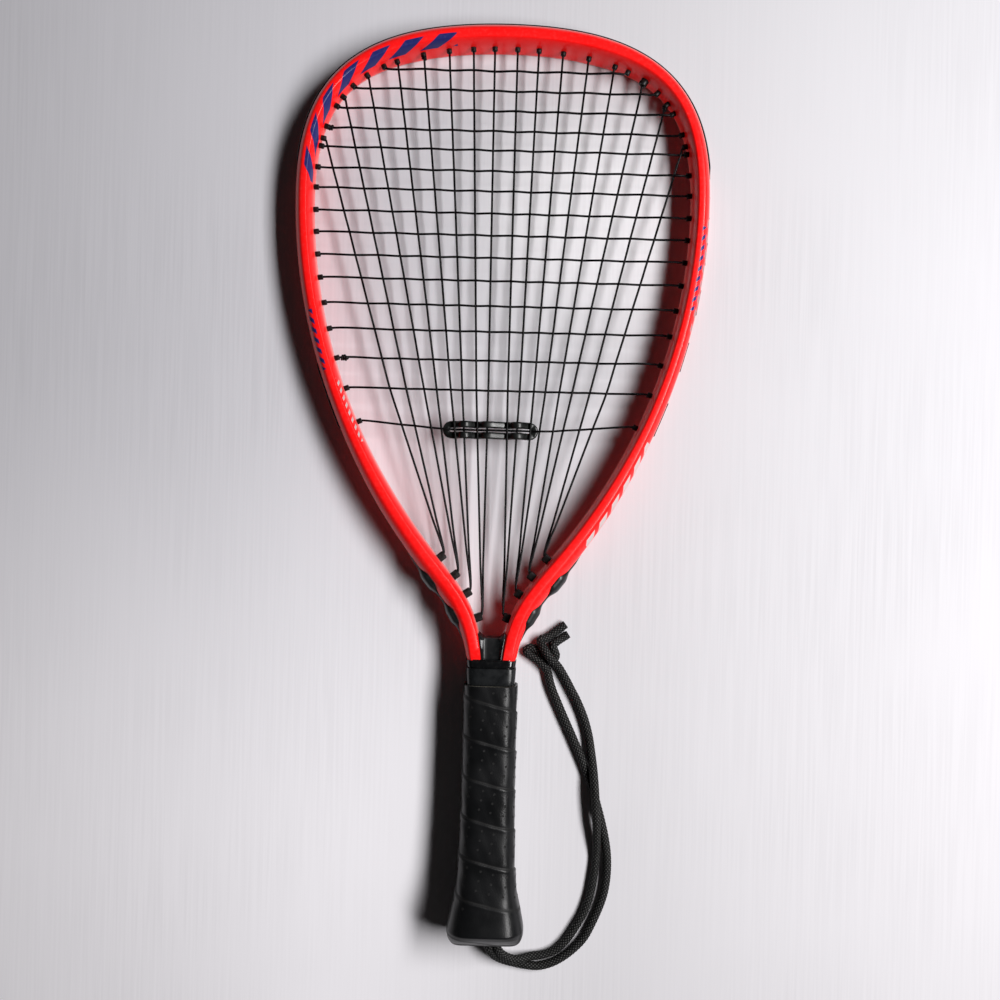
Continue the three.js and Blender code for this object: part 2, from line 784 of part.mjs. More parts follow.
function loft(heights, outlineAt) {
  const outlines = heights.map(outlineAt);
  return skin(heights.map((y, i) => outlines[i].map(([x, z]) => new THREE.Vector3(x, y, z))), outlines);
}

const handleHeights = handleHeightShares.map((share) => share * handleLength);
const flareAt = (y) => alongTable(y, handleHeights, flareShares);
const handleWidthAt = (y) => handleHalfWidth + buttFlareWidth * flareAt(y);
const handleDepthAt = (y) => handleHalfDepth + buttFlareDepth * flareAt(y);

function frameClearance() {
  return solidOf(sweep(stationsBetween(-railLength, railLength), (s) => tubeOutline(s, fit)));
}

// A staple across the web between the shafts, on the front or the back.
function stapleGeometry(side) {
  const half = stapleWidth / 2;
  const crown = handleDepthAt(stapleHeight) - fit;
  const foot = crown - stapleLeg;
  const shape = new THREE.Shape();
  shape.moveTo(-half, side * foot);
  shape.lineTo(-half, side * crown);
  shape.lineTo(half, side * crown);
  shape.lineTo(half, side * foot);
  shape.lineTo(half - stapleWire, side * foot);
  shape.lineTo(half - stapleWire, side * (crown - stapleWire));
  shape.lineTo(stapleWire - half, side * (crown - stapleWire));
  shape.lineTo(stapleWire - half, side * foot);
  const geometry = new THREE.ExtrudeGeometry(shape, { depth: stapleWire, bevelEnabled: false });
  return geometry.rotateX(Math.PI / 2).translate(0, stapleHeight + stapleWire / 2, 0);
}

function coreGeometry() {
  const heights = [
    capFloor + fit, capSkirt + fit, capSkirt + 2 * fit,
    ...handleHeights.filter((y) => y > capSkirt + 2 * fit && y < handleLength), handleLength,
  ];
  const body = solidOf(loft(heights, (y) => (y <= capSkirt + fit
    ? octagon(coreStepHalfWidth, coreStepHalfDepth)
    : octagon(handleWidthAt(y), handleDepthAt(y)))));
  const staples = [1, -1].map((side) => stapleCut(side));
  return geometryOf(staples.reduce((rest, cut) => rest.subtract(cut), body.subtract(frameClearance())));
}

// The space that a staple takes in the core and the cap, with its crown let into the surface.
function stapleCut(side) {
  const half = stapleWidth / 2 + fit;
  const top = handleDepthAt(stapleHeight) + overrun;
  const foot = handleDepthAt(stapleHeight) - 2 * fit - stapleLeg;
  const box = new THREE.BoxGeometry(2 * half, stapleWire + 2 * fit, top - foot);
  box.translate(0, stapleHeight, side * (top + foot) / 2);
  return solidOf(box);
}

function capGeometry() {
  const heights = [...handleHeights.filter((y) => y < capSkirt), capSkirt];
  const body = solidOf(loft(heights, (y) => octagon(handleWidthAt(y), handleDepthAt(y))));
  const pocket = solidOf(loft([capFloor, capSkirt + overrun], () => (
    octagon(coreStepHalfWidth + fit, coreStepHalfDepth + fit)
  )));
  const slotHalf = cordSpacing / 2 + cordDiameter / 2 + 2 * fit;
  const slot = solidOf(loft([-overrun, cordSlotDepth], () => (
    octagon(slotHalf, cordDiameter / 2 + 2 * fit, cordSlotBevel)
      .map(([x, z]) => [x + cordSlotOffset, z - cordSlotDrop])
  )));
  const cuts = [pocket, slot, stapleCut(1), stapleCut(-1)];
  return geometryOf(cuts.reduce((rest, cut) => rest.subtract(cut), body));
}

// The grip's surface steps up once in each turn of the wrap.
function gripOutline(y) {
  const width = handleWidthAt(y) + fit + gripThickness;
  const depth = handleDepthAt(y) + fit + gripThickness;
  const base = octagon(width, depth);
  const dense = base.flatMap(([x, z], k) => {
    const [nextX, nextZ] = base[(k + 1) % base.length];
    return [[x, z], [(x + nextX) / 2, (z + nextZ) / 2]];
  });
  return dense.map(([x, z]) => {
    const turn = Math.atan2(z, x) / (2 * Math.PI);
    const phase = THREE.MathUtils.euclideanModulo(y / gripPitch - turn, 1);
    const scale = 1 + gripStep * (phase - 1 / 2) / Math.hypot(x, z);
    return [x * scale, z * scale];
  });
}

function gripGeometry() {
  const heights = Array.from({ length: gripRings + 1 }, (unused, i) => (
    mix(gripStart, handleLength, i / gripRings)
  ));
  const outer = solidOf(loft(heights, gripOutline));
  const innerHeights = [
    -overrun, gripStart, ...handleHeights.filter((y) => y > gripStart), handleLength + overrun,
  ];
  const inner = solidOf(loft(innerHeights, (y) => (
    octagon(handleWidthAt(y) + fit, handleDepthAt(y) + fit)
  )));
  return geometryOf(outer.subtract(inner));
}

// The rail's place at a height below the widest point.
function placeAtHeight(y) {
  let low = 0;
  let high = railLength;
  for (let i = 0; i < halvings; i++) {
    const middle = (low + high) / 2;
    if (railAt(middle).y > y) low = middle;
    else high = middle;
  }
  return low;
}

// A sleeve that holds both shafts and the insert together between two heights.
function sleeveGeometry(from, to, wall) {
  const outline = (y, extra) => {
    const s = placeAtHeight(y);
    return octagon(railAt(s).x + halfWidthAt(s) + extra, halfDepthAt(s) + extra, sleeveBevel);
  };
  const heights = [from, (from + to) / 2, to];
  const outer = solidOf(loft(heights, (y) => outline(y, 2 * fit + wall)));
  const inner = solidOf(loft([from - overrun, (from + to) / 2, to + overrun], (y) => outline(y, 2 * fit)));
  return geometryOf(outer.subtract(inner));
}

function insertGeometry() {
  const shape = new THREE.Shape();
  const foot = handleLength + fit;
  const top = handleLength + insertReach;
  const notch = top - insertHorn;
  shape.moveTo(-insertHalfWidth, foot);
  shape.lineTo(insertHalfWidth, foot);
  shape.lineTo(insertHalfWidth, top);
  shape.lineTo(insertHornHalf, top);
  shape.lineTo(insertFlatHalf, notch);
  shape.lineTo(-insertFlatHalf, notch);
  shape.lineTo(-insertHornHalf, top);
  shape.lineTo(-insertHalfWidth, top);
  const geometry = new THREE.ExtrudeGeometry(shape, { depth: 2 * insertHalfDepth, bevelEnabled: false });
  return geometryOf(solidOf(geometry.translate(0, 0, -insertHalfDepth)).subtract(frameClearance()));
}

// Wrist cord. The routes are in millimetres from the middle of the butt's end, above the surface.
const cordLevel = 2.8;
const cordHump = 8.7;
const slotLevel = 12.2;
const outerStrandRoute = [
  [0.6, 5.7, slotLevel], [0.6, 0, slotLevel], [0.9, -4, 12], [2.2, -9, 10.2], [6.5, -14.5, 6.6],
  [13, -18, 3.9], [22, -20, cordLevel], [31, -20.4, cordLevel], [41.4, -18.1, cordLevel],
  [50.5, -12.5, cordLevel], [58.5, -4.8, cordLevel], [67, 12, cordLevel], [73.2, 31.1, cordLevel],
  [75.4, 45.4, cordLevel], [74.8, 58, 3.4], [73, 67.5, 6.2], [70, 78, 8.2], [65.3, 88, cordHump],
  [61.6, 96, 8.1], [58.5, 104.8, 5.6], [55, 113, 3.2], [50.5, 122.1, cordLevel],
  [43.5, 139, cordLevel], [37.6, 151.5, cordLevel], [34.2, 160.5, cordLevel], [32.4, 166, cordLevel],
];
const innerStrandRoute = [
  [6.4, 5.7, slotLevel], [6.4, 0, slotLevel], [6.9, -3.5, 11.8], [9.3, -8, 9.5], [13.5, -11.8, 6],
  [19.5, -14, 3.4], [27, -13.9, cordLevel], [34.4, -11.4, cordLevel], [42.3, -5.5, cordLevel],
  [51.2, 3.2, cordLevel], [59, 16, cordLevel], [63.9, 30.9, cordLevel], [67.2, 45.2, cordLevel],
  [68.2, 59.5, cordLevel], [67.6, 73.7, cordLevel], [65.9, 87.9, cordLevel], [65, 102.1, cordLevel],
  [62.9, 117, cordLevel], [59, 129.5, cordLevel], [54, 142, cordLevel], [48.3, 153.8, cordLevel],
  [42.2, 164, cordLevel], [40, 168, cordLevel],
];
const knotLobes = [
  { at: [25, 175.5, 5], size: [6, 5.2, 4.8] },
  { at: [33, 173, 5.8], size: [7.5, 6, 5.6] },
  { at: [38, 176, 6.2], size: [5.5, 6.5, 5.8] },
  { at: [30.5, 182, 4.6], size: [4.2, 4, 4.2] },
];
const lobeSides = 8;
const lobeRings = 6;
const tailRoutes = [
  [[31, 178, 5.2], [37, 185, 4.4], [43.9, 192.4, cordLevel]],
  [[37, 177, 5.2], [41.5, 181.2, 4.4], [47.8, 188, cordLevel]],
];

function cordTube(route, radius, steps) {
  const section = new THREE.Shape(Array.from({ length: cordSides }, (unused, k) => {
    const angle = 2 * Math.PI * k / cordSides;
    return new THREE.Vector2(radius * Math.cos(angle), radius * Math.sin(angle));
  }));
  const points = route.map((point) => new THREE.Vector3(...point));
  const path = new THREE.CatmullRomCurve3(points, false, 'centripetal');
  return new THREE.ExtrudeGeometry(section, { steps, extrudePath: path, bevelEnabled: false });
}

function cordKnotGeometry() {
  const lobes = knotLobes.map(({ at, size }) => {
    const lobe = new THREE.SphereGeometry(1, lobeSides, lobeRings);
    return solidOf(lobe.scale(...size).translate(...at));
  });
  const tails = tailRoutes.map((route) => solidOf(cordTube(route, cordDiameter / 2, cordTailSteps)));
  const whole = [...lobes, ...tails].reduce((body, part) => body.add(part));
  const sockets = [outerStrandRoute, innerStrandRoute].map((route) => {
    const end = new THREE.Vector3(...route.at(-1));
    const back = new THREE.Vector3(...route.at(-2));
    const way = end.clone().sub(back).normalize();
    const reach = end.clone().addScaledVector(way, fit);
    const stretch = [back.addScaledVector(way, -cordDiameter), end, reach].map((point) => point.toArray());
    return solidOf(cordTube(stretch, cordDiameter / 2 + fit, cordSocketSteps));
  });
  return geometryOf(sockets.reduce((body, socket) => body.subtract(socket), whole));
}

// Assembly. The pieces of the racket lie in one turned group, so that the head and the butt both rest.

const mainPoints = mainStringPoints();
const crossPoints = crossStringPoints();
console.log(`least gap between strings: ${leastGap([mainPoints, crossPoints]).toFixed(2)} mm`);

const lying = new THREE.Group();
const tapeStart = handleLength + collarLength + fit;
const stringFinish = () => material(colours.string, 0.35);
const pieces = [
  ['frame', frameGeometry(), material(colours.paint, 0.25)],
  ['throat_insert', insertGeometry(), material(colours.black, 0.45)],
  ['head_bumper', headBumperGeometry(), material(colours.black, 0.5)],
  ['side_grommet_strip_left', sideStripGeometry(-1), material(colours.black, 0.5)],
  ['side_grommet_strip_right', sideStripGeometry(1), material(colours.black, 0.5)],
  ['throat_bumper_left', throatBumperGeometry(-1), material(colours.rubber, 0.55)],
  ['throat_bumper_right', throatBumperGeometry(1), material(colours.rubber, 0.55)],
  ['main_string', threadGeometry(mainPoints, stringDiameter / 2, stringSides), stringFinish()],
  ['cross_string', threadGeometry(crossPoints, stringDiameter / 2, stringSides), stringFinish()],
  ['vibration_dampener', dampenerGeometry(), material(colours.rubber, 0.4)],
  ['handle_core', coreGeometry(), material(colours.foam, 0.8)],
  ['butt_cap', capGeometry(), material(colours.black, 0.5)],
  ['cap_staple_front', stapleGeometry(1), material(colours.steel, 0.35, 1)],
  ['cap_staple_back', stapleGeometry(-1), material(colours.steel, 0.35, 1)],
  ['grip_wrap', gripGeometry(), material(colours.grip, 0.5)],
  [
    'grip_collar',
    sleeveGeometry(handleLength + fit, handleLength + collarLength, collarWall),
    material(colours.rubber, 0.45),
  ],
  ['shaft_tape', sleeveGeometry(tapeStart, tapeStart + tapeLength, tapeWall), material(colours.black, 0.3)],
];
const knots = [
  ['main_string_knot_right', mainPoints, mainPlace(secondMain, 1), -weave],
  ['main_string_knot_left', crossPoints, crossPlace(fourthCross, -1), -weave],
  ['cross_string_knot_upper', mainPoints, mainPlace(fifthMain, -1), weave],
  ['cross_string_knot_lower', crossPoints, crossPlace(lowTieCross, -1), -weave],
];
knots.forEach(([name, points, s, height]) => {
  pieces.push([name, knotGeometry(points, s, height), material(colours.string, 0.4)]);
});

function addPieces(group, list) {
  for (const [name, geometry, finish] of list) {
    const mesh = new THREE.Mesh(geometry, finish);
    mesh.name = name;
    group.add(mesh);
  }
}
addPieces(lying, pieces);

// The butt is thicker than the head, so the racket leans until the head and the butt both touch.
function restAngle() {
  const points = pieces.flatMap(([, geometry]) => {
    const at = geometry.attributes.position;
    return Array.from({ length: at.count }, (unused, i) => [at.getY(i), at.getZ(i)]);
  });
  const lowest = (angle, keep) => Math.min(...points.filter(([y]) => keep(y)).map(([y, z]) => (
    y * Math.sin(angle) + z * Math.cos(angle)
  )));
  let low = -Math.PI / 16;
  let high = Math.PI / 16;
  for (let i = 0; i < halvings; i++) {
    const angle = (low + high) / 2;
    const head = lowest(angle, (y) => y > overallLength / 2);
    const butt = lowest(angle, (y) => y < overallLength / 2);
    if (head > butt) high = angle;
    else low = angle;
  }
  return low;
}

lying.rotation.x = restAngle();
lying.updateMatrixWorld(true);
const box = new THREE.Box3().setFromObject(lying, true);
const middle = box.getCenter(new THREE.Vector3());
lying.position.set(-middle.x, -middle.y, -box.min.z);

const cord = new THREE.Group();
cord.position.set(lying.position.x, lying.position.y, 0);
const cordRadius = cordDiameter / 2;
const braid = () => material(colours.cord, 0.8);
addPieces(cord, [
  ['wrist_cord_outer_strand', cordTube(outerStrandRoute, cordRadius, cordSteps), braid()],
  ['wrist_cord_inner_strand', cordTube(innerStrandRoute, cordRadius, cordSteps), braid()],
  ['wrist_cord_knot', cordKnotGeometry(), braid()],
]);

const racket = new THREE.Group();
racket.add(lying, cord);

export default racket;
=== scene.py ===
import math

import bmesh
import bpy
import numpy as np
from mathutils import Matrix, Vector


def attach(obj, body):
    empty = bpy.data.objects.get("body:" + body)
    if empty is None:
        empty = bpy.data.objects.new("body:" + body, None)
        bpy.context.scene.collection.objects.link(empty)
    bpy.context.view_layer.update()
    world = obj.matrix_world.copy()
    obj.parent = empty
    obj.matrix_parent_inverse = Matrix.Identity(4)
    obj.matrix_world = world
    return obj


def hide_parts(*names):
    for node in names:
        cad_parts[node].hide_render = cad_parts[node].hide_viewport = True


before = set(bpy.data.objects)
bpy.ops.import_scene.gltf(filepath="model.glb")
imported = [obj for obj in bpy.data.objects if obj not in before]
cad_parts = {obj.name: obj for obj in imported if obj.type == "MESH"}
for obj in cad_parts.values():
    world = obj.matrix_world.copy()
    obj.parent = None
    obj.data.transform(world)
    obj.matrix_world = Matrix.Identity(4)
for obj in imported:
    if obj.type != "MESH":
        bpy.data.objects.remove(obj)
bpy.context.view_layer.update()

# The racket's own axes are in millimetres, with Y from the butt to the head and Z above the
# string plane. These values lay it down on the floor, in metres.
resting = {
    "lean": -0.92741252,  # degrees about X, so that the head and the butt both touch
    "shift": (0.0, -279.28239204, 19.96219688),
    "cordShift": (0.0, -279.28239204, 0.0),
    "floorGap": 0.00003,  # metres
}


def layDown(points):
    points = np.asarray(points, float)
    lean = math.radians(resting["lean"])
    x, y, z = points[..., 0], points[..., 1], points[..., 2]
    turned = np.stack(
        [x, y * math.cos(lean) - z * math.sin(lean), y * math.sin(lean) + z * math.cos(lean)], axis=-1
    )
    return (turned + np.array(resting["shift"])) / 1000


def besideRacket(points):
    return (np.asarray(points, float) + np.array(resting["cordShift"])) / 1000


def onFloor(points):
    # soft pieces flatten where they rest
    points[..., 2] = np.maximum(points[..., 2], resting["floorGap"])
    return points


def putInScene(name, data):
    made = bpy.data.objects.new(name, data)
    bpy.context.scene.collection.objects.link(made)
    return made


# Camera, straight above the racket as in the photograph.
cameraView = {
    "place": (0.0028, -0.0110, 0.620),
    "roll": 0.0246,  # radians
    "lens": 35.85,
    "sensor": 36.0,
}


def addCamera():
    data = bpy.data.cameras.new("topCamera")
    data.lens = cameraView["lens"]
    data.sensor_width = cameraView["sensor"]
    data.clip_start = 0.01
    camera = putInScene("topCamera", data)
    camera.location = cameraView["place"]
    camera.rotation_euler = (0.0, 0.0, cameraView["roll"])
    bpy.context.scene.camera = camera


addCamera()
print("camera set")


# Curves and skins

def unit(vector):
    return vector / max(np.linalg.norm(vector), 1e-12)


def fullTurn(count):
    return np.linspace(0, 2 * np.pi, count, endpoint=False)


def smoothLine(points, step, closed=False):
    # a centripetal curve through the points, cut into short steps
    points = np.asarray(points, float)
    count = len(points)
    lines = []
    for i in range(count if closed else count - 1):
        p1, p2 = points[i], points[(i + 1) % count]
        p0 = points[i - 1] if closed or i > 0 else 2 * p1 - p2
        p3 = points[(i + 2) % count] if closed or i < count - 2 else 2 * p2 - p1
        d1, d2, d3 = (max(np.linalg.norm(b - a), 1e-9) ** 0.5 for a, b in ((p0, p1), (p1, p2), (p2, p3)))
        m1 = d2 * ((p1 - p0) / d1 - (p2 - p0) / (d1 + d2) + (p2 - p1) / d2)
        m2 = d2 * ((p2 - p1) / d2 - (p3 - p1) / (d2 + d3) + (p3 - p2) / d3)
        pieces = max(1, math.ceil(np.linalg.norm(p2 - p1) / step))
        t = (np.arange(pieces) / pieces)[:, None]
        lines.append(
            (2 * t**3 - 3 * t**2 + 1) * p1 + (t**3 - 2 * t**2 + t) * m1
            + (-2 * t**3 + 3 * t**2) * p2 + (t**3 - t**2) * m2
        )
    if not closed:
        lines.append(points[-1:])
    return np.concatenate(lines)


def evenLine(points, step):
    # the same line with its points a fixed distance apart
    points = np.asarray(points, float)
    steps = np.linalg.norm(np.diff(points, axis=0), axis=1)
    along = np.concatenate([[0], np.cumsum(steps)])
    places = np.linspace(0, along[-1], max(2, round(along[-1] / step) + 1))
    return np.stack([np.interp(places, along, points[:, k]) for k in range(3)], axis=1)


def lineLength(points):
    return float(np.linalg.norm(np.diff(points, axis=0), axis=1).sum())


def framesAlong(points):
    # two directions across the line that turn as little as possible from point to point
    tangents = np.gradient(points, axis=0)
    tangents /= np.linalg.norm(tangents, axis=1)[:, None]
    normals = []
    normal = np.array([0.0, 0.0, 1.0])
    for tangent in tangents:
        normal = unit(normal - tangent * (normal @ tangent))
        normals.append(normal)
    return np.array(normals), np.cross(tangents, normals)


def skinRings(name, rings, finish, loop=False, ends="flat", uvAlong=None, uvAround=None, sharp=40):
    # a skin over rings of points in metres, with a UV map that runs along and around it
    rings = np.asarray(rings, float)
    ringCount, around = rings.shape[:2]
    faces, uvs = [], []
    along = uvAlong if uvAlong is not None else np.linspace(0, 1, ringCount + (1 if loop else 0))
    shares = uvAround if uvAround is not None else np.linspace(0, 1, around + 1)
    for r in range(ringCount if loop else ringCount - 1):
        near, far = r * around, (r + 1) % ringCount * around
        for k in range(around):
            beside = (k + 1) % around
            faces.append((near + k, near + beside, far + beside, far + k))
            low, high = shares[k], shares[k + 1]
            uvs += [(along[r], low), (along[r], high), (along[r + 1], high), (along[r + 1], low)]
    if not loop and ends == "flat":
        for ring, order in ((0, -1), (ringCount - 1, 1)):
            faces.append(tuple(ring * around + k for k in range(around))[::order])
            uvs += [(along[ring], shares[k]) for k in range(around)][::order]
    mesh = bpy.data.meshes.new(name)
    mesh.from_pydata(rings.reshape(-1, 3).tolist(), [], faces)
    mesh.uv_layers.new(name="sweepMap").data.foreach_set("uv", np.array(uvs, np.float32).ravel())
    mesh.materials.append(finish)
    work = bmesh.new()
    work.from_mesh(mesh)
    bmesh.ops.recalc_face_normals(work, faces=work.faces)
    work.to_mesh(mesh)
    work.free()
    mesh.polygons.foreach_set("use_smooth", [True] * len(mesh.polygons))
    mesh.set_sharp_from_angle(angle=math.radians(sharp))
    return putInScene(name, mesh)


def joinPieces(name, pieces):
    # one object from several, with their materials kept
    work = bmesh.new()
    materials = []
    for piece in pieces:
        slotMap = []
        for finish in piece.data.materials:
            if finish not in materials:
                materials.append(finish)
            slotMap.append(materials.index(finish))
        start = len(work.faces)
        work.from_mesh(piece.data)
        work.faces.ensure_lookup_table()
        for face in work.faces[start:]:
            face.material_index = slotMap[face.material_index]
    mesh = bpy.data.meshes.new(name)
    work.to_mesh(mesh)
    work.free()
    for finish in materials:
        mesh.materials.append(finish)
    for piece in pieces:
        bpy.data.objects.remove(piece)
    return putInScene(name, mesh)


def paintPoints(mesh, label, values):
    layer = mesh.attributes.new(label, "FLOAT", "POINT")
    layer.data.foreach_set("value", np.asarray(values, np.float32).ravel())


def settle(piece, slotName, *nodes):
    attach(piece, "root")
    if nodes:
        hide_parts(*nodes)
    return piece


def roundedSection(halfWidth, halfHeight, power, count):
    c, s = np.cos(fullTurn(count)), np.sin(fullTurn(count))
    x = halfWidth * np.sign(c) * np.abs(c) ** (2 / power)
    y = halfHeight * np.sign(s) * np.abs(s) ** (2 / power)
    return np.stack([x, y], axis=1)


# Node helpers

def addNode(tree, kind, inputs=None, **settings):
    node = tree.nodes.new(kind)
    for key, value in settings.items():
        setattr(node, key, value)
    for key, value in (inputs or {}).items():
        if isinstance(value, bpy.types.NodeSocket):
            tree.links.new(value, node.inputs[key])
        else:
            node.inputs[key].default_value = value
    return node


def mathNode(tree, operation, first, second):
    return addNode(tree, "ShaderNodeMath", {0: first, 1: second}, operation=operation).outputs[0]


def rangeNode(tree, value, low, high, newLow=0.0, newHigh=1.0, style="SMOOTHSTEP"):
    inputs = {"Value": value, "From Min": low, "From Max": high, "To Min": newLow, "To Max": newHigh}
    return addNode(tree, "ShaderNodeMapRange", inputs, interpolation_type=style).outputs["Result"]


def mixColour(tree, factor, first, second, blend="MIX"):
    # a colour is a socket, or its red, green and blue
    first, second = (c if isinstance(c, bpy.types.NodeSocket) else (*c, 1) for c in (first, second))
    inputs = {0: factor, 6: first, 7: second}
    return addNode(tree, "ShaderNodeMix", inputs, data_type="RGBA", blend_type=blend).outputs[2]


def ownPlace(tree):
    return addNode(tree, "ShaderNodeTexCoord").outputs["Object"]


def stretchedPlace(tree, scale):
    return addNode(tree, "ShaderNodeMapping", {"Vector": ownPlace(tree), "Scale": scale}).outputs[0]


def noiseNode(tree, place, scale, detail):
    return addNode(tree, "ShaderNodeTexNoise", {"Vector": place, "Scale": scale, "Detail": detail}).outputs["Fac"]


def cellNode(tree, scale):
    return addNode(tree, "ShaderNodeTexVoronoi", {"Vector": ownPlace(tree), "Scale": scale}).outputs["Distance"]


def pointValue(tree, label):
    return addNode(tree, "ShaderNodeAttribute", attribute_name=label).outputs["Fac"]


def startGroup(name, inputs, outputs, kind="ShaderNodeTree"):
    group = bpy.data.node_groups.new(name, kind)
    for label, socketKind, value in inputs:
        socket = group.interface.new_socket(name=label, in_out="INPUT", socket_type=socketKind)
        if value is not None:
            socket.default_value = value
    for label, socketKind in outputs:
        group.interface.new_socket(name=label, in_out="OUTPUT", socket_type=socketKind)
    return group, group.nodes.new("NodeGroupInput").outputs, group.nodes.new("NodeGroupOutput").inputs


def grainGroup():
    # fine moulded or painted grain: a mottle mask and a height
    group, given, result = startGroup(
        "surfaceGrain",
        [("Fine Scale", "NodeSocketFloat", 900.0), ("Mottle Scale", "NodeSocketFloat", 40.0)],
        [("Mottle", "NodeSocketFloat"), ("Height", "NodeSocketFloat")],
    )
    mottle = noiseNode(group, ownPlace(group), given["Mottle Scale"], 5.0)
    group.links.new(rangeNode(group, mottle, 0.3, 0.7), result["Mottle"])
    group.links.new(noiseNode(group, ownPlace(group), given["Fine Scale"], 3.0), result["Height"])
    return group


def scuffGroup():
    # thin rubs and scratches where the noise peaks, stretched along one axis
    group, given, result = startGroup(
        "lightScuffs",
        [
            ("Scale", "NodeSocketFloat", 60.0),
            ("Stretch", "NodeSocketVector", (1.0, 6.0, 1.0)),
            ("Coverage", "NodeSocketFloat", 0.3),
        ],
        [("Mask", "NodeSocketFloat")],
    )
    rub = noiseNode(group, stretchedPlace(group, given["Stretch"]), given["Scale"], 6.0)
    limit = mathNode(group, "SUBTRACT", 0.85, given["Coverage"])
    lines = rangeNode(group, rub, limit, mathNode(group, "ADD", limit, 0.12))
    patches = rangeNode(group, noiseNode(group, ownPlace(group), 12.0, 2.0), 0.42, 0.62)
    group.links.new(mathNode(group, "MULTIPLY", lines, patches), result["Mask"])
    return group


def dustGroup():
    # a thin film of dust that settles on what faces up
    group, given, result = startGroup(
        "dustFilm",
        [("Scale", "NodeSocketFloat", 500.0), ("Amount", "NodeSocketFloat", 0.3)],
        [("Mask", "NodeSocketFloat")],
    )
    specks = noiseNode(group, ownPlace(group), given["Scale"], 4.0)
    normal = addNode(group, "ShaderNodeNewGeometry").outputs["Normal"]
    up = rangeNode(group, addNode(group, "ShaderNodeSeparateXYZ", {0: normal}).outputs["Z"], 0.2, 1.0)
    film = mathNode(group, "MULTIPLY", up, rangeNode(group, specks, 0.45, 0.75))
    group.links.new(mathNode(group, "MULTIPLY", film, given["Amount"]), result["Mask"])
    return group


def barGroup():
    # slanted bars between two places along a swept piece and two places around it
    group, given, result = startGroup(
        "slantedBars",
        [
            ("Map", "NodeSocketVector", None),
            ("From Along", "NodeSocketFloat", 0.0),
            ("To Along", "NodeSocketFloat", 1.0),
            ("From Around", "NodeSocketFloat", 0.0),
            ("To Around", "NodeSocketFloat", 1.0),
            ("Pitch", "NodeSocketFloat", 0.02),
            ("Slant", "NodeSocketFloat", 0.1),
            ("Duty", "NodeSocketFloat", 0.5),
        ],
        [("Mask", "NodeSocketFloat")],
    )
    parts = addNode(group, "ShaderNodeSeparateXYZ", {0: given["Map"]}).outputs
    soft = 0.0006
    edges = []
    for value, low, high in (
        (parts["X"], given["From Along"], given["To Along"]),
        (parts["Y"], given["From Around"], given["To Around"]),
    ):
        edges.append(rangeNode(group, mathNode(group, "SUBTRACT", value, low), 0.0, soft))
        edges.append(rangeNode(group, mathNode(group, "SUBTRACT", high, value), 0.0, soft))
    drift = mathNode(group, "MULTIPLY", parts["Y"], given["Slant"])
    turn = mathNode(group, "DIVIDE", mathNode(group, "ADD", parts["X"], drift), given["Pitch"])
    wave = mathNode(group, "PINGPONG", turn, 0.5)
    filled = mathNode(group, "MULTIPLY", given["Duty"], 0.5)
    mask = rangeNode(group, mathNode(group, "SUBTRACT", filled, wave), -0.02, 0.02)
    for edge in edges:
        mask = mathNode(group, "MULTIPLY", mask, edge)
    group.links.new(mask, result["Mask"])
    return group


grain, scuffs, dust, bars = grainGroup(), scuffGroup(), dustGroup(), barGroup()


def spaced(values):
    return {label.replace("_", " "): value for label, value in values.items()}


def startMaterial(name, **shaderValues):
    finish = bpy.data.materials.new(name)
    finish.use_nodes = True
    tree = finish.node_tree
    tree.nodes.clear()
    shader = addNode(tree, "ShaderNodeBsdfPrincipled", spaced(shaderValues))
    addNode(tree, "ShaderNodeOutputMaterial", {0: shader.outputs[0]})
    return finish, tree, shader


def useGroup(tree, group, **inputs):
    return addNode(tree, "ShaderNodeGroup", spaced(inputs), node_tree=group).outputs


def roughBetween(tree, mottle, low, high, worn=None, rise=0.0):
    # roughness that follows the mottle, and rises where the surface is worn
    rough = rangeNode(tree, mottle, 0.0, 1.0, low, high, "LINEAR")
    if worn is None:
        return rough
    return mathNode(tree, "ADD", rough, mathNode(tree, "MULTIPLY", worn, rise))


def dressShader(tree, shader, colour, rough, bump=None):
    # bump is a height, its strength and its distance in metres
    tree.links.new(colour, shader.inputs["Base Color"])
    tree.links.new(rough, shader.inputs["Roughness"])
    if bump:
        node = addNode(tree, "ShaderNodeBump", dict(zip(("Height", "Strength", "Distance"), bump)))
        tree.links.new(node.outputs[0], shader.inputs["Normal"])


def mouldedFinish(name, colour, light, roughness, bumpDepth=0.00004, dustAmount=0.06, gloss=0.4):
    # a moulded black part: mottled colour, fine grain, light rubs and a little dust
    finish, tree, shader = startMaterial(name, IOR=1.5, Specular_IOR_Level=gloss)
    fine = useGroup(tree, grain, Fine_Scale=1500.0, Mottle_Scale=70.0)
    rubbed = useGroup(tree, scuffs, Scale=220.0, Coverage=0.18)["Mask"]
    film = useGroup(tree, dust, Amount=dustAmount)["Mask"]
    base = mixColour(tree, fine["Mottle"], colour, [c * 1.35 for c in colour])
    dusty = mixColour(tree, film, mixColour(tree, rubbed, base, light), (0.35, 0.34, 0.33))
    rough = roughBetween(tree, fine["Mottle"], roughness - 0.05, roughness + 0.07, rubbed, 0.15)
    dressShader(tree, shader, dusty, rough, (fine["Height"], 0.35, bumpDepth))
    return finish


# Wrist cord: two braided strands that leave the butt and end in one knot.
cordShape = {
    "diameter": 5.4,
    "carriers": 8,  # ridges that run each way round the braid
    "braidPitch": 19.0,
    "relief": 0.5,
    "skinDrop": 1.05,  # how far the skin lies under the full diameter, in reliefs
    "endLength": 2.0,
    "ringStep": 0.3,
    "spokes": 60,
}
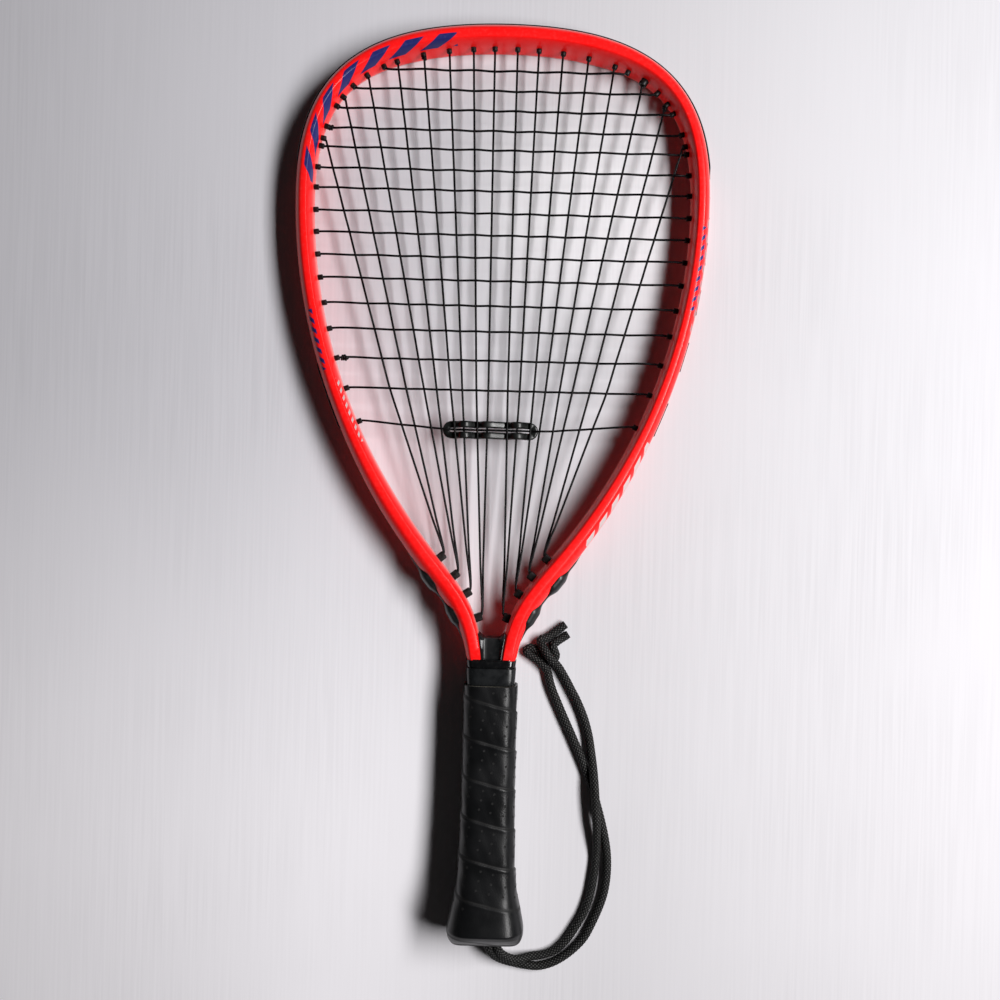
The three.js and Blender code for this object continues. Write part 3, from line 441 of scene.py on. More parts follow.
# a point of a route without a height lies on the floor
cordLevel, slotLevel = 2.72, 12.2
outerStrandRoute = [
    (1.6, 5.7, slotLevel), (1.6, 0, slotLevel), (2.2, -3.6, 12), (3.8, -8.2, 10), (7.3, -12.6, 6.8),
    (12.6, -16.0, 4), (18.4, -17.9), (25, -19.1), (33.4, -19.6),
    (41.4, -17.5), (48.2, -13.8), (53.9, -9.4), (58.6, -4.8),
    (62, -0.4), (66.3, 8.2), (70.1, 17.2), (72.8, 25.6),
    (74.3, 34.6), (74.7, 44), (74.2, 52), (72.7, 61),
    (70.3, 71), (67.4, 81.2), (64.2, 91.8), (60, 102.7),
    (55.4, 113.4), (50.6, 124), (45.6, 134.6), (40.9, 145),
    (38.6, 150.2), (36.8, 155.2), (35.6, 160),
]
innerStrandRoute = [
    (7, 5.7, slotLevel), (7, 0, slotLevel), (7.3, -3.6, 11.9), (9.3, -8.2, 10.4), (13.2, -12, 8.2),
    (19.4, -14.5, 6.2), (27.6, -13.8, 3.3), (36.2, -12.6), (43.1, -9.9),
    (49.2, -4.6), (54.4, 2.6), (57.8, 8.4), (60.8, 14),
    (64.4, 24.6), (66.8, 38.4), (67.8, 49.6), (67.6, 60, 5.1),
    (67, 71, 7.5), (66.2, 81.8, 8.3), (65.4, 92.4, 8.3), (64.4, 103, 6.6), (63, 113.6, 3.8),
    (61.1, 124.3), (57.9, 135), (52.9, 146.2), (49.9, 151.6),
    (47.2, 156.6), (44.5, 161.2),
]
# the knot: one cord goes round the left lobe and under, the other passes over it
knotRoute = [
    (35.6, 160), (34.8, 163.2, 2.8), (32.4, 166.6, 3.4), (28.6, 169.8, 3.3), (25.1, 171.9, 2.9),
    (22.6, 173.5), (21.6, 175.4), (23.1, 177), (26.2, 176.9, 2.8),
    (29.4, 175.2, 2.8), (32.8, 172.8), (36, 170.8), (38.7, 170.4, 2.9),
    (39.7, 173, 3.6), (38.6, 176.4, 5), (37.7, 179.3, 5.6), (39.8, 181.4, 4.4), (43.2, 183.6, 3),
    (47.2, 186.2),
]
secondKnotRoute = [
    (44.5, 161.2), (42.5, 164.4, 3), (39.9, 167.8, 5), (36.9, 170.9, 7.8), (34, 174.5, 8.3),
    (31.5, 178.2, 7.2), (30, 181, 5.3), (30.4, 182.7, 4.2), (32.6, 183.4, 3.4), (36, 185.2, 2.8),
    (40.6, 188.6), (45.4, 192.3),
]


def cordFinish():
    finish, tree, shader = startMaterial("braidedCord", Specular_IOR_Level=0.2)
    relief = pointValue(tree, "braidRelief")
    fine = useGroup(tree, grain, Fine_Scale=4200.0, Mottle_Scale=900.0)
    # darker where the braid's relief is low, between the carriers: painted shade in the braid's creases
    thread = mixColour(tree, rangeNode(tree, relief, 0.35, 1.0), (0.0006, 0.0006, 0.0007), (0.004, 0.004, 0.0043))
    # pale specks on the carriers' tops: painted glints where the braid's strands cross
    mottle = rangeNode(tree, fine["Mottle"], 0.1, 0.7, 0.45, 1.0)
    paintedGlints = mathNode(tree, "MULTIPLY", mottle, rangeNode(tree, relief, 0.74, 0.96))
    colour = mixColour(tree, paintedGlints, thread, (0.10, 0.10, 0.096))
    dressShader(
        tree, shader, colour, rangeNode(tree, relief, 0.0, 1.0, 0.9, 0.5), (fine["Height"], 0.5, 0.00008)
    )
    return finish


def braidTube(name, line, finish, taper=0.0):
    # a tube whose skin rises where a carrier passes over another; the line is in millimetres
    normals, sides = framesAlong(line)
    along = np.concatenate([[0], np.cumsum(np.linalg.norm(np.diff(line, axis=0), axis=1))])
    angles = fullTurn(cordShape["spokes"])
    share = angles[None, :] / (2 * np.pi) * cordShape["carriers"]
    rise = along[:, None] / cordShape["braidPitch"] * cordShape["carriers"]
    first, second = share + rise, share - rise
    firstOnTop = (np.floor(first) + np.floor(second)) % 2 == 0
    ridge = np.where(firstOnTop, np.sin(np.pi * (first % 1)), np.sin(np.pi * (second % 1)))
    arch = np.where(firstOnTop, np.sin(np.pi * (second % 1)), np.sin(np.pi * (first % 1)))
    relief = np.sqrt(ridge) * (0.45 + 0.55 * arch)
    radius = cordShape["diameter"] / 2 + cordShape["relief"] * (relief - cordShape["skinDrop"])
    if taper:
        endGap = along[-1] - along
        radius = radius * (1 - taper * np.clip(1 - endGap / cordShape["endLength"], 0, 1) ** 2)[:, None]
    rings = (
        line[:, None, :]
        + radius[..., None] * np.cos(angles)[None, :, None] * normals[:, None, :]
        + radius[..., None] * np.sin(angles)[None, :, None] * sides[:, None, :]
    )
    piece = skinRings(name, onFloor(besideRacket(rings)), finish, uvAlong=along / along[-1], sharp=80)
    paintPoints(piece.data, "braidRelief", relief)
    return piece


def addCords():
    finish = cordFinish()
    lines = {
        name: evenLine(smoothLine([(*point, cordLevel)[:3] for point in route], 0.3), cordShape["ringStep"])
        for name, route in (
            ("cordOuterStrand", outerStrandRoute),
            ("cordInnerStrand", innerStrandRoute),
            ("knotFirst", knotRoute),
            ("knotSecond", secondKnotRoute),
        )
    }
    knot = joinPieces("cordKnot", [
        braidTube("knotFirst", lines["knotFirst"], finish, taper=0.08),
        braidTube("knotSecond", lines["knotSecond"], finish, taper=0.08),
    ])
    settle(knot, "cord", "wrist_cord_knot")
    for name, node in (
        ("cordOuterStrand", "wrist_cord_outer_strand"), ("cordInnerStrand", "wrist_cord_inner_strand"),
    ):
        line = lines[name]
        strand = settle(braidTube(name, line, finish), "cord", node)
        print(name, "is", round(lineLength(line)), "mm long")


addCords()
print("cords laid")


# The rail is the middle line of the tube: three curves from the top of the head to the neck, then
# the straight shaft. A place is measured along it from the top, plus on the right, minus on the left.
railShape = {
    "top": 551.1,
    "widest": 452.4,
    "halfWidth": 120.8,
    "topArm": 96.0,
    "shoulderArm": 62.1,
    "flankArm": 73.9,
    "throat": (59.7, 256.9),
    "throatLean": 34.3,  # degrees
    "throatArm": 65.0,
    "neckArm": 59.2,
    "neck": (8.8, 150.0),
    "neckReach": 58.4,
    "shaftEnd": 14.0,
}


def buildRail():
    r = railShape
    lean = math.radians(r["throatLean"])
    way = np.array([math.sin(lean), math.cos(lean)])
    throat, neck = np.array(r["throat"]), np.array(r["neck"])
    curves = [
        [(0, r["top"]), (r["topArm"], r["top"]), (r["halfWidth"], r["widest"] + r["shoulderArm"]),
         (r["halfWidth"], r["widest"])],
        [(r["halfWidth"], r["widest"]), (r["halfWidth"], r["widest"] - r["flankArm"]),
         throat + way * r["throatArm"], throat],
        [throat, throat - way * r["neckArm"], neck + (0, r["neckReach"]), neck],
    ]
    t = np.linspace(0, 1, 3001)[:, None]
    points = []
    for a, b, c, d in curves:
        a, b, c, d = map(np.array, (a, b, c, d))
        line = (1 - t) ** 3 * a + 3 * (1 - t) ** 2 * t * b + 3 * (1 - t) * t**2 * c + t**3 * d
        points.append(line if not points else line[1:])
    hoop = np.concatenate(points)
    hoopLength = np.linalg.norm(np.diff(hoop, axis=0), axis=1).sum()
    end = np.linspace(neck, (neck[0], r["shaftEnd"]), 200)[1:]
    whole = np.concatenate([hoop, end])
    along = np.concatenate([[0], np.cumsum(np.linalg.norm(np.diff(whole, axis=0), axis=1))])
    return whole, along, float(hoopLength)


railPoints, railAlong, hoopLength = buildRail()
railLength = float(railAlong[-1])
railTangents = np.gradient(railPoints, axis=0)
railTangents /= np.linalg.norm(railTangents, axis=1)[:, None]


def railAt(s):
    side = -1.0 if s < 0 else 1.0
    x, y = (np.interp(abs(s), railAlong, railPoints[:, k]) for k in (0, 1))
    tx, ty = (np.interp(abs(s), railAlong, railTangents[:, k]) for k in (0, 1))
    return np.array([side * x, y]), np.array([-side * ty, tx]) / math.hypot(tx, ty)


def place(s, u, w):
    # u outwards from the rail, w above the string plane
    at, out = railAt(s)
    return np.array([at[0] + u * out[0], at[1] + u * out[1], w])


tubeShape = {
    "width": 12.0,
    "depth": 22.0,
    "shaftWidth": 8.2,
    "shaftDepth": 18.0,
    "taperLength": 55.0,
    "taperEnd": 16.0,
    # the section along the hoop, as shares of the way from the top to the neck
    "places": [0, 0.10, 0.24, 0.60, 0.78, 1],
    "outerInset": [0.5, 0.5, 1.3, 1.3, 0.1, 0.0],
    "innerInset": [-0.2, -0.2, 0.6, 0.6, 0.0, 0.0],
    "innerCrown": [0.60, 0.60, 0.45, 0.45, 0.5, 0.5],
    "lowCorner": [0.86, 0.86, 0.45, 0.45, 0.6, 0.6],
    "outerCrown": 0.08,
    "crownGrowth": 0.36,
    "outerPower": 1.35,
    "innerPower": 1.15,
    # near the neck, between two distances before it
    "neckSwell": 0.8,
    "swellRise": (120, 70),
    "swellFall": (24, 21.8),
    "sleeved": (23.5, 21.5),
    "sleevedSlim": 0.07,  # slimmer inside the tape and the collar
    "grooveDepth": 1.8,
    "grooveHalfHeight": 3.9,
    "grooveTail": 13.3,  # past the last barrel in the throat
    "grooveFade": 1.5,
    "stationStep": 2.4,
}


def smoothStep(value, low, high):
    t = min(max((value - low) / (high - low), 0.0), 1.0)
    return t * t * (3 - 2 * t)


def nearNeck(s, span):
    return smoothStep(abs(s), hoopLength - span[0], hoopLength - span[1])


def taperAt(s):
    end = hoopLength - tubeShape["taperEnd"]
    return smoothStep(abs(s), end - tubeShape["taperLength"], end)


def halfWidthAt(s):
    return (tubeShape["width"] + (tubeShape["shaftWidth"] - tubeShape["width"]) * taperAt(s)) / 2


def halfDepthAt(s):
    return (tubeShape["depth"] + (tubeShape["shaftDepth"] - tubeShape["depth"]) * taperAt(s)) / 2


# String holes as shares of the way from the top of the head to the neck.
stringShape = {
    "diameter": 1.3,
    "seenDiameter": 1.36,
    "weave": 0.68,  # how far a string stands off the plane where it crosses another
    "lane": 1.85,
    "tieWeave": 0.9,
    "mains": [0.2838, 0.2232, 0.18, 0.1371, 0.1026, 0.0702, 0.0401, 0.0139],
    "crosses": [
        0.1552, 0.2031, 0.2381, 0.2679, 0.2939, 0.3208, 0.3461, 0.3737,
        0.4006, 0.4283, 0.4568, 0.4881, 0.5203, 0.5572, 0.5958, 0.6389,
    ],
    "throats": [0.8316, 0.8584, 0.8828, 0.9116],
    "knees": [0.545, 0.462, 0.373, 0.309, 0.238, 0.18, 0.109, 0.049],
    "lastCrossDip": 4.2,
    "lastCrossFlat": 30.0,
    "ramp": 6.0,
    "bendRoom": 1.0,
    "laneRun": 2.5,
    "tieLaneRun": 7.0,
    "laneRunShare": 0.4,
    "loopStep": 10.0,
    "step": 1.6,
}
barrelShape = {
    "reach": 1.2,
    "seenReach": 2.3,
    "outerRadius": 1.65,
    "holeRadius": 0.78,
    "throatReach": 4.3,
    "tieMain": 2,  # its barrel on the right is larger
    "tieSize": 1.55,
    "stripBase": 1.0,
    "fit": 0.3,
}
secondMain, fifthMain, fourthCross, lowTieCross = 1, 4, 3, 13
mainCount, crossCount = 8, 16


def mainPlace(number, side):
    return side * stringShape["mains"][number] * hoopLength


def crossPlace(number, side):
    return side * stringShape["crosses"][number] * hoopLength


def throatPlace(number, side):
    return side * stringShape["throats"][number // 2] * hoopLength


tiePlaces = [
    mainPlace(secondMain, 1), mainPlace(fifthMain, -1), crossPlace(fourthCross, -1), crossPlace(lowTieCross, -1),
]


def seenAt(label, s):
    # one of the section's tables, with soft steps between its places
    share, places, values = abs(s) / hoopLength, tubeShape["places"], tubeShape[label]
    i = min(max(int(np.searchsorted(places, share, "right")) - 1, 0), len(places) - 2)
    return values[i] + (values[i + 1] - values[i]) * smoothStep(share, places[i], places[i + 1])


def outerAt(s):
    # the outer wall: in from the nominal width at the sides of the head, out a little at the neck
    swell = nearNeck(s, tubeShape["swellRise"]) * (1 - nearNeck(s, tubeShape["swellFall"]))
    return halfWidthAt(s) - seenAt("outerInset", s) + tubeShape["neckSwell"] * swell


def grooveFloor(s):
    return outerAt(s) - tubeShape["grooveDepth"]


def baseTop(s):
    return grooveFloor(s) + barrelShape["fit"] + barrelShape["stripBase"]


def loopLevel(s):
    return baseTop(s) + barrelShape["fit"] + stringShape["diameter"] / 2


def stationsBetween(start, end, step):
    return np.linspace(start, end, max(2, round(abs(end - start) / step) + 1))


def sweepRail(name, stations, sectionAt, finish, sharp=40, uvAround=None):
    rings = [place(s, *np.asarray(sectionAt(s), float).T).T for s in stations]
    return skinRings(name, layDown(rings), finish, uvAlong=np.array(stations) / 1000, uvAround=uvAround, sharp=sharp)


# Frame


def bentWall(start, end, power, count=10):
    # from an upright start to a level end: a power of 1 is round, 2 is straight
    t = np.linspace(0, np.pi / 2, count)
    u = end[0] + (start[0] - end[0]) * np.cos(t) ** power
    w = start[1] + (end[1] - start[1]) * np.sin(t) ** power
    return np.stack([u, w], axis=1)


def outerCrownAt(s):
    return outerAt(s) * (tubeShape["outerCrown"] + tubeShape["crownGrowth"] * taperAt(s))


def outerWall(s, w):
    # how far out the tube's outer wall is at a height
    start, end = (outerAt(s), tubeShape["grooveHalfHeight"]), (outerCrownAt(s), halfDepthAt(s))
    wall = bentWall(start, end, tubeShape["outerPower"], 24)
    return float(np.interp(abs(w), wall[:, 1], wall[:, 0]))


def tubeSection(s, grooveShare):
    t = tubeShape
    a, b, lip = outerAt(s), halfWidthAt(s) - seenAt("innerInset", s), t["grooveHalfHeight"]
    crown = outerCrownAt(s)
    d = halfDepthAt(s) * (1 - t["sleevedSlim"] * nearNeck(s, t["sleeved"]))
    inside, low = seenAt("innerCrown", s) + 0.2 * taperAt(s), seenAt("lowCorner", s)
    floor = a - t["grooveDepth"] * grooveShare - 0.02
    return np.concatenate([
        bentWall((a, lip), (crown, d), t["outerPower"]),
        bentWall((-b, 0.08 * d), (-b * inside, d), t["innerPower"])[::-1],
        bentWall((-b, -0.25 * d), (-b * low, -d), 1.0),
        bentWall((a, -lip), (crown, -d), t["outerPower"])[::-1],
        [(floor, -lip + 0.15), (floor, lip - 0.15)],
    ])


def frameFinish():
    # the paint glows a little (Emission Strength): painted light that brightens the red, its shaded sides too
    finish, tree, shader = startMaterial(
        "fluorescentRedPaint", IOR=1.46, Specular_IOR_Level=0.25, Coat_Weight=0.16, Coat_Roughness=0.14,
        Emission_Strength=0.035,
    )
    uv = addNode(tree, "ShaderNodeUVMap", uv_map="sweepMap").outputs[0]
    fine = useGroup(tree, grain, Fine_Scale=1600.0, Mottle_Scale=25.0)
    rubbed = useGroup(tree, scuffs, Scale=150.0, Coverage=0.2)
    film = useGroup(tree, dust, Amount=0.03)
    red = mixColour(tree, fine["Mottle"], (0.97, 0.006, 0.006), (1.0, 0.009, 0.009))
    worn = mixColour(tree, mathNode(tree, "MULTIPLY", rubbed["Mask"], 0.12), red, (1.0, 0.10, 0.09))
    # paler salmon where the surface is seen edge-on: a painted reflection of the bright paper and window
    paintedReflectionFacing = addNode(tree, "ShaderNodeLayerWeight", {"Blend": 0.5}).outputs["Facing"]
    colour = mixColour(tree, rangeNode(tree, paintedReflectionFacing, 0.66, 0.97, 0.0, 0.7), worn, (1.0, 0.36, 0.33))
    # plain slanted bars in navy and pale grey
    for low, high, fromAround, toAround, pitch, slant, duty, ink in graphics:
        mask = useGroup(
            tree, bars, Map=uv, From_Along=low, To_Along=high, From_Around=fromAround, To_Around=toAround,
            Pitch=pitch, Slant=slant, Duty=duty,
        )["Mask"]
        colour = mixColour(tree, mask, colour, ink)
    dusty = mixColour(tree, film["Mask"], colour, (0.75, 0.5, 0.48))
    # painted glow in the paint's own colour
    tree.links.new(colour, shader.inputs["Emission Color"])
    rough = roughBetween(tree, fine["Mottle"], 0.30, 0.36, rubbed["Mask"], 0.2)
    dressShader(tree, shader, dusty, rough, (fine["Height"], 0.12, 0.00003))
    return finish


navy, paleGrey, dullGrey = (0.016, 0.020, 0.13), (0.52, 0.42, 0.42), (0.33, 0.17, 0.18)
# along the rail in metres from the top (minus on the left), round the section as a share, then
# pitch, slant and filled share of the bars
graphics = [
    (-0.176, -0.030, 0.175, 0.345, 0.0210, 0.08, 0.55, navy),
    (0.198, 0.250, 0.105, 0.162, 0.0062, -0.05, 0.45, navy),
    (0.190, 0.262, 0.030, 0.085, 0.0090, 0.03, 0.5, dullGrey),
    (0.332, 0.404, 0.020, 0.100, 0.0130, 0.06, 0.62, paleGrey),
    (-0.292, -0.254, 0.100, 0.165, 0.0062, 0.05, 0.5, navy),
    (-0.340, -0.298, 0.240, 0.300, 0.0048, -0.04, 0.45, paleGrey),
]


def addFrame():
    stations = stationsBetween(-railLength, railLength, tubeShape["stationStep"])
    grooveEnd = stringShape["throats"][-1] * hoopLength + tubeShape["grooveTail"]
    fade = tubeShape["grooveFade"]

    def section(s):
        return tubeSection(s, 1 - smoothStep(abs(s), grooveEnd - fade, grooveEnd + fade))

    outline = tubeSection(0.0, 1.0)
    girth = np.cumsum(np.linalg.norm(np.roll(outline, -1, axis=0) - outline, axis=1))
    shares = np.concatenate([[0], girth / girth[-1]])
    print("the tube is", round(girth[-1], 1), "mm round")
    tube = sweepRail("frameTube", stations, section, frameFinish(), sharp=38, uvAround=shares)
    settle(tube, "frame_paint", "frame")


addFrame()
print("frame swept")


# Geometry Nodes: trees for what repeats or follows a path


def startTree(name, inputs):
    geometry = ("Geometry", "NodeSocketGeometry")
    return startGroup(name, [(*geometry, None), *inputs], [geometry], "GeometryNodeTree")


def endTree(tree, geometry, finish, result):
    real = addNode(tree, "GeometryNodeRealizeInstances", {0: geometry}).outputs[0]
    smooth = addNode(tree, "GeometryNodeSetShadeSmooth", {0: real}).outputs[0]
    done = addNode(tree, "GeometryNodeSetMaterial", {"Geometry": smooth, "Material": finish}).outputs[0]
    tree.links.new(done, result["Geometry"])
    return tree


def circleNode(tree, resolution, radius):
    inputs = {"Resolution": resolution, "Radius": radius}
    return addNode(tree, "GeometryNodeCurvePrimitiveCircle", inputs).outputs[0]


def sweepNode(tree, curve, profile, caps=False):
    inputs = {"Curve": curve, "Profile Curve": profile, "Fill Caps": caps}
    return addNode(tree, "GeometryNodeCurveToMesh", inputs).outputs[0]


def threadTree():
    # a round thread along each line of the mesh that it is given
    tree, given, result = startTree("threadAlongLines", [
        ("Diameter", "NodeSocketFloat", 0.0013), ("Sides", "NodeSocketInt", 10), ("Finish", "NodeSocketMaterial", None),
    ])
    line = addNode(tree, "GeometryNodeMeshToCurve", {0: given["Geometry"]}).outputs[0]
    circle = circleNode(tree, given["Sides"], mathNode(tree, "MULTIPLY", given["Diameter"], 0.5))
    return endTree(tree, sweepNode(tree, line, circle, True), given["Finish"], result)


def instanceOnPoints(tree, given, shape):
    # the shape at each point, turned to the point's aim and grown by its size
    aim = addNode(tree, "GeometryNodeInputNamedAttribute", {"Name": "aim"}, data_type="FLOAT_VECTOR").outputs[0]
    size = addNode(tree, "GeometryNodeInputNamedAttribute", {"Name": "size"}, data_type="FLOAT").outputs[0]
    turn = addNode(tree, "FunctionNodeAlignRotationToVector", {"Vector": aim}, axis="Z").outputs[0]
    return addNode(tree, "GeometryNodeInstanceOnPoints", {
        "Points": given["Geometry"], "Instance": shape, "Rotation": turn, "Scale": size,
    }).outputs[0]


def ringTree():
    # a grommet barrel end: a rounded ring with an open hole
    tree, given, result = startTree("grommetRings", [
        ("Outer Radius", "NodeSocketFloat", 0.00165), ("Hole Radius", "NodeSocketFloat", 0.0008),
        ("Length", "NodeSocketFloat", 0.002), ("Edge", "NodeSocketFloat", 0.0003),
        ("Finish", "NodeSocketMaterial", None),
    ])
    wall = mathNode(tree, "SUBTRACT", given["Outer Radius"], given["Hole Radius"])
    middle = mathNode(tree, "ADD", given["Outer Radius"], given["Hole Radius"])
    path = circleNode(tree, 18, mathNode(tree, "MULTIPLY", middle, 0.5))
    size = {"Width": wall, "Height": given["Length"]}
    profile = addNode(tree, "GeometryNodeCurvePrimitiveQuadrilateral", size).outputs[0]
    edge = {"Curve": profile, "Radius": given["Edge"], "Count": 2}
    rounded = addNode(tree, "GeometryNodeFilletCurve", edge, mode="POLY").outputs[0]
    ring = sweepNode(tree, path, rounded)
    return endTree(tree, instanceOnPoints(tree, given, ring), given["Finish"], result)


def dotTree():
    # a punched hole in the grip: a dark disc inside a slightly raised lip; the disc's dark finish is painted shade for
    # the inside of the hole
    tree, given, result = startTree("gripPerforations", [
        ("Radius", "NodeSocketFloat", 0.0006), ("Lip", "NodeSocketFloat", 0.00012),
        ("Finish", "NodeSocketMaterial", None),
    ])
    size = {"Vertices": 10, "Radius": given["Radius"]}
    floor = addNode(tree, "GeometryNodeMeshCircle", size, fill_type="TRIANGLE_FAN").outputs[0]
    lip = sweepNode(tree, circleNode(tree, 10, given["Radius"]), circleNode(tree, 4, given["Lip"]))
    join = tree.nodes.new("GeometryNodeJoinGeometry")
    tree.links.new(floor, join.inputs[0])
    tree.links.new(lip, join.inputs[0])
    return endTree(tree, instanceOnPoints(tree, given, join.outputs[0]), given["Finish"], result)


def evaluatedMesh(piece):
    depsgraph = bpy.context.evaluated_depsgraph_get()
    return bpy.data.meshes.new_from_object(piece.evaluated_get(depsgraph), depsgraph=depsgraph)


def runTree(name, source, tree, values):
    modifier = source.modifiers.new("build", "NODES")
    modifier.node_group = tree
    for item in tree.interface.items_tree:
        if item.item_type == "SOCKET" and item.in_out == "INPUT" and item.name in values:
            modifier[item.identifier] = values[item.name]
    mesh = evaluatedMesh(source)
    mesh.name = name
    bpy.data.objects.remove(source)
    return putInScene(name, mesh)


def lineSource(line):
    mesh = bpy.data.meshes.new("lines")
    mesh.from_pydata([tuple(point) for point in line], [(i, i + 1) for i in range(len(line) - 1)], [])
    return putInScene("lines", mesh)


def pointSource(points, aims, sizes):
    mesh = bpy.data.meshes.new("places")
    mesh.from_pydata([tuple(point) for point in points], [], [])
    mesh.attributes.new("aim", "FLOAT_VECTOR", "POINT").data.foreach_set("vector", np.array(aims, np.float32).ravel())
    paintPoints(mesh, "size", sizes)
    return putInScene("places", mesh)


threads, rings, dots = threadTree(), ringTree(), dotTree()


# Grommet strips, with a barrel at each hole
stripShape = {
    "bumperProud": 0.95,
    "bumperHalfHeight": 5.3,
    "endHalfHeight": 4.4,
    "endLength": 8.0,
    "bumperEdge": 0.9,
    "bumperHalfLength": 168.0,
    "channelHalf": 2.8,
    "overhang": 8.0,
    "gap": 1.0,
    "step": 1.6,
}
grommetPlastic = mouldedFinish("grommetPlastic", (0.0045, 0.0042, 0.0042), (0.05, 0.05, 0.052), 0.34, gloss=0.2)


def stripSection(s, proud, halfHeight, lift):
    half, base = outerAt(s), baseTop(s)
    channel = stripShape["channelHalf"]
    low = grooveFloor(s) - 0.1
    top = half + proud * lift
    inner = tubeShape["grooveHalfHeight"] - barrelShape["fit"]
    edge = min(stripShape["bumperEdge"], halfHeight - channel - 0.1)
    side = [(base, 0.0), (base, channel - 0.15), (base + 0.2, channel), (top - 0.3, channel), (top, channel + 0.3)]
    if proud:
        side += [
            (top, halfHeight - edge), (top - 0.35 * edge * lift, halfHeight - 0.3 * edge),
            (half + 0.5 * proud * lift, halfHeight), (half - 0.9, halfHeight), (half - 1.0, inner),
        ]
    else:
        side += [(top, inner - 0.2), (top - 0.2, inner)]
    side.append((low, inner))
    return [(u, -w) for u, w in side[1:]][::-1] + side


def barrelRings(name, places):
    reach = barrelShape["seenReach"]
    points, aims, sizes = [], [], []
    for s in places:
        at = place(s, -halfWidthAt(s) - reach / 2 + 0.2, 0.0)
        inwards = place(s, -halfWidthAt(s) - reach / 2 - 0.8, 0.0)
        points.append(layDown(at))
        aims.append(unit(layDown(inwards) - layDown(at)))
        sizes.append(barrelShape["tieSize"] if s == mainPlace(barrelShape["tieMain"], 1) else 1.0)
    return runTree(name, pointSource(points, aims, sizes), rings, {
        "Outer Radius": barrelShape["outerRadius"] / 1000, "Hole Radius": barrelShape["holeRadius"] / 1000,
        "Length": (reach + 0.8) / 1000, "Edge": 0.0003, "Finish": grommetPlastic,
    })


def addStrips():
    half, low, step = (stripShape[key] for key in ("bumperHalfLength", "endHalfHeight", "step"))
    holes = []
    for side in (-1, 1):
        holes += [mainPlace(number, side) for number in range(mainCount)]
        holes += [crossPlace(number, side) for number in range(crossCount)]

    def bumperSection(s):
        lift = 0.25 + 0.75 * smoothStep(half - abs(s), 0, stripShape["endLength"])
        return stripSection(s, stripShape["bumperProud"], low + (stripShape["bumperHalfHeight"] - low) * lift, lift)

    strip = sweepRail("bumperStrip", stationsBetween(-half, half, step), bumperSection, grommetPlastic, sharp=30)
    barrels = barrelRings("bumperBarrels", [s for s in holes if abs(s) < half])
    settle(joinPieces("headBumper", [strip, barrels]), "grommet_plastic", "head_bumper")
    end = max(abs(s) for s in holes) + stripShape["overhang"]
    for side, label in ((-1, "left"), (1, "right")):
        stations = stationsBetween(side * (half + stripShape["gap"]), side * end, step)
        strip = sweepRail("strip", stations, lambda s: stripSection(s, 0.0, low, 1.0), grommetPlastic, sharp=30)
        joined = joinPieces("sideStrip" + label.title(), [
            strip, barrelRings("barrels", [s for s in holes if s * side > half]),
        ])
        settle(joined, "grommet_plastic", "side_grommet_strip_" + label)


addStrips()
print("grommet strips placed")


# Throat bumpers: a black strip with two petals over the loops of string, their outer faces painted lighter grey as a
# painted reflection, and four square barrels
throatShape = {
    "tailAbove": 15.6,
    "tailBelow": 10.4,
    "rise": 1.15,
    "petalRise": 2.1,
    "petalHalf": 11.0,
    "crestHalf": 3.0,
    "halfHeight": 4.6,
    "petalHalfHeight": 8.4,
    "step": 0.7,
    "barrelSize": 5.2,
    "roundness": 2.3,
    "spokes": 25,
}


def throatFinish():
    finish = mouldedFinish("throatBumperRubber", (0.006, 0.0048, 0.0045), (0.04, 0.036, 0.034), 0.34, gloss=0.3)
    tree = finish.node_tree
    shader = next(node for node in tree.nodes if node.type == "BSDF_PRINCIPLED")
    shader.inputs["Coat Weight"].default_value = 0.12
    shader.inputs["Coat Roughness"].default_value = 0.22
    # the petals' outer faces painted lighter grey: a painted reflection of the domes' tops
    petalPaintedReflection = rangeNode(tree, pointValue(tree, "petalPaintedReflection"), 0.35, 0.65)
    colour = shader.inputs["Base Color"]
    tree.links.new(mixColour(tree, petalPaintedReflection, colour.links[0].from_socket, (0.013, 0.014, 0.0145)), colour)
    return finish


def petalAt(s):
    t = throatShape
    holes = [share * hoopLength for share in stringShape["throats"]]
    away = min(abs(abs(s) - middle) for middle in ((holes[0] + holes[1]) / 2, (holes[2] + holes[3]) / 2))
    return 1 - smoothStep(away, t["crestHalf"], t["petalHalf"])


def addThroatBumpers():
    finish = throatFinish()
    t = throatShape
    holes = [share * hoopLength for share in stringShape["throats"]]
    start, end = holes[0] - t["tailAbove"], holes[-1] + t["tailBelow"]
    angles = np.linspace(-np.pi / 2, np.pi / 2, t["spokes"])
    power = 2 / t["roundness"]

    def section(s):
        tip = smoothStep(min(abs(s) - start, end - abs(s)), -1.0, 8.0)
        hump, half = petalAt(s), outerAt(s)
        proud = (t["rise"] + t["petalRise"] * hump) * (0.3 + 0.7 * tip)
        height = (t["halfHeight"] + (t["petalHalfHeight"] - t["halfHeight"]) * hump) * (0.35 + 0.65 * tip)
        height = min(height, halfDepthAt(s) - 2.2)
        foot = outerWall(s, height)
        u = foot - 0.25 + (half + proud - foot + 0.25) * np.abs(np.cos(angles)) ** power
        w = height * np.sign(np.sin(angles)) * np.abs(np.sin(angles)) ** power
        return np.concatenate([np.stack([u, w], axis=1), [(foot - 1.2, height * 0.9), (foot - 1.2, -height * 0.9)]])

    for side, label in ((-1, "left"), (1, "right")):
        stations = stationsBetween(side * start, side * end, t["step"])
        strip = sweepRail("throatStrip", stations, section, finish, sharp=50)
        # where the painted reflection goes: the outward faces of the petals
        outwards = np.clip(2.2 * np.concatenate([np.cos(angles), [0, 0]]), 0, 1)
        paintPoints(strip.data, "petalPaintedReflection", np.outer([petalAt(s) for s in stations], outwards))
        joined = joinPieces("throatBumper" + label.title(), [strip, *(throatBlock(s * side, finish) for s in holes)])
        settle(joined, "grommet_plastic", "throat_bumper_" + label)


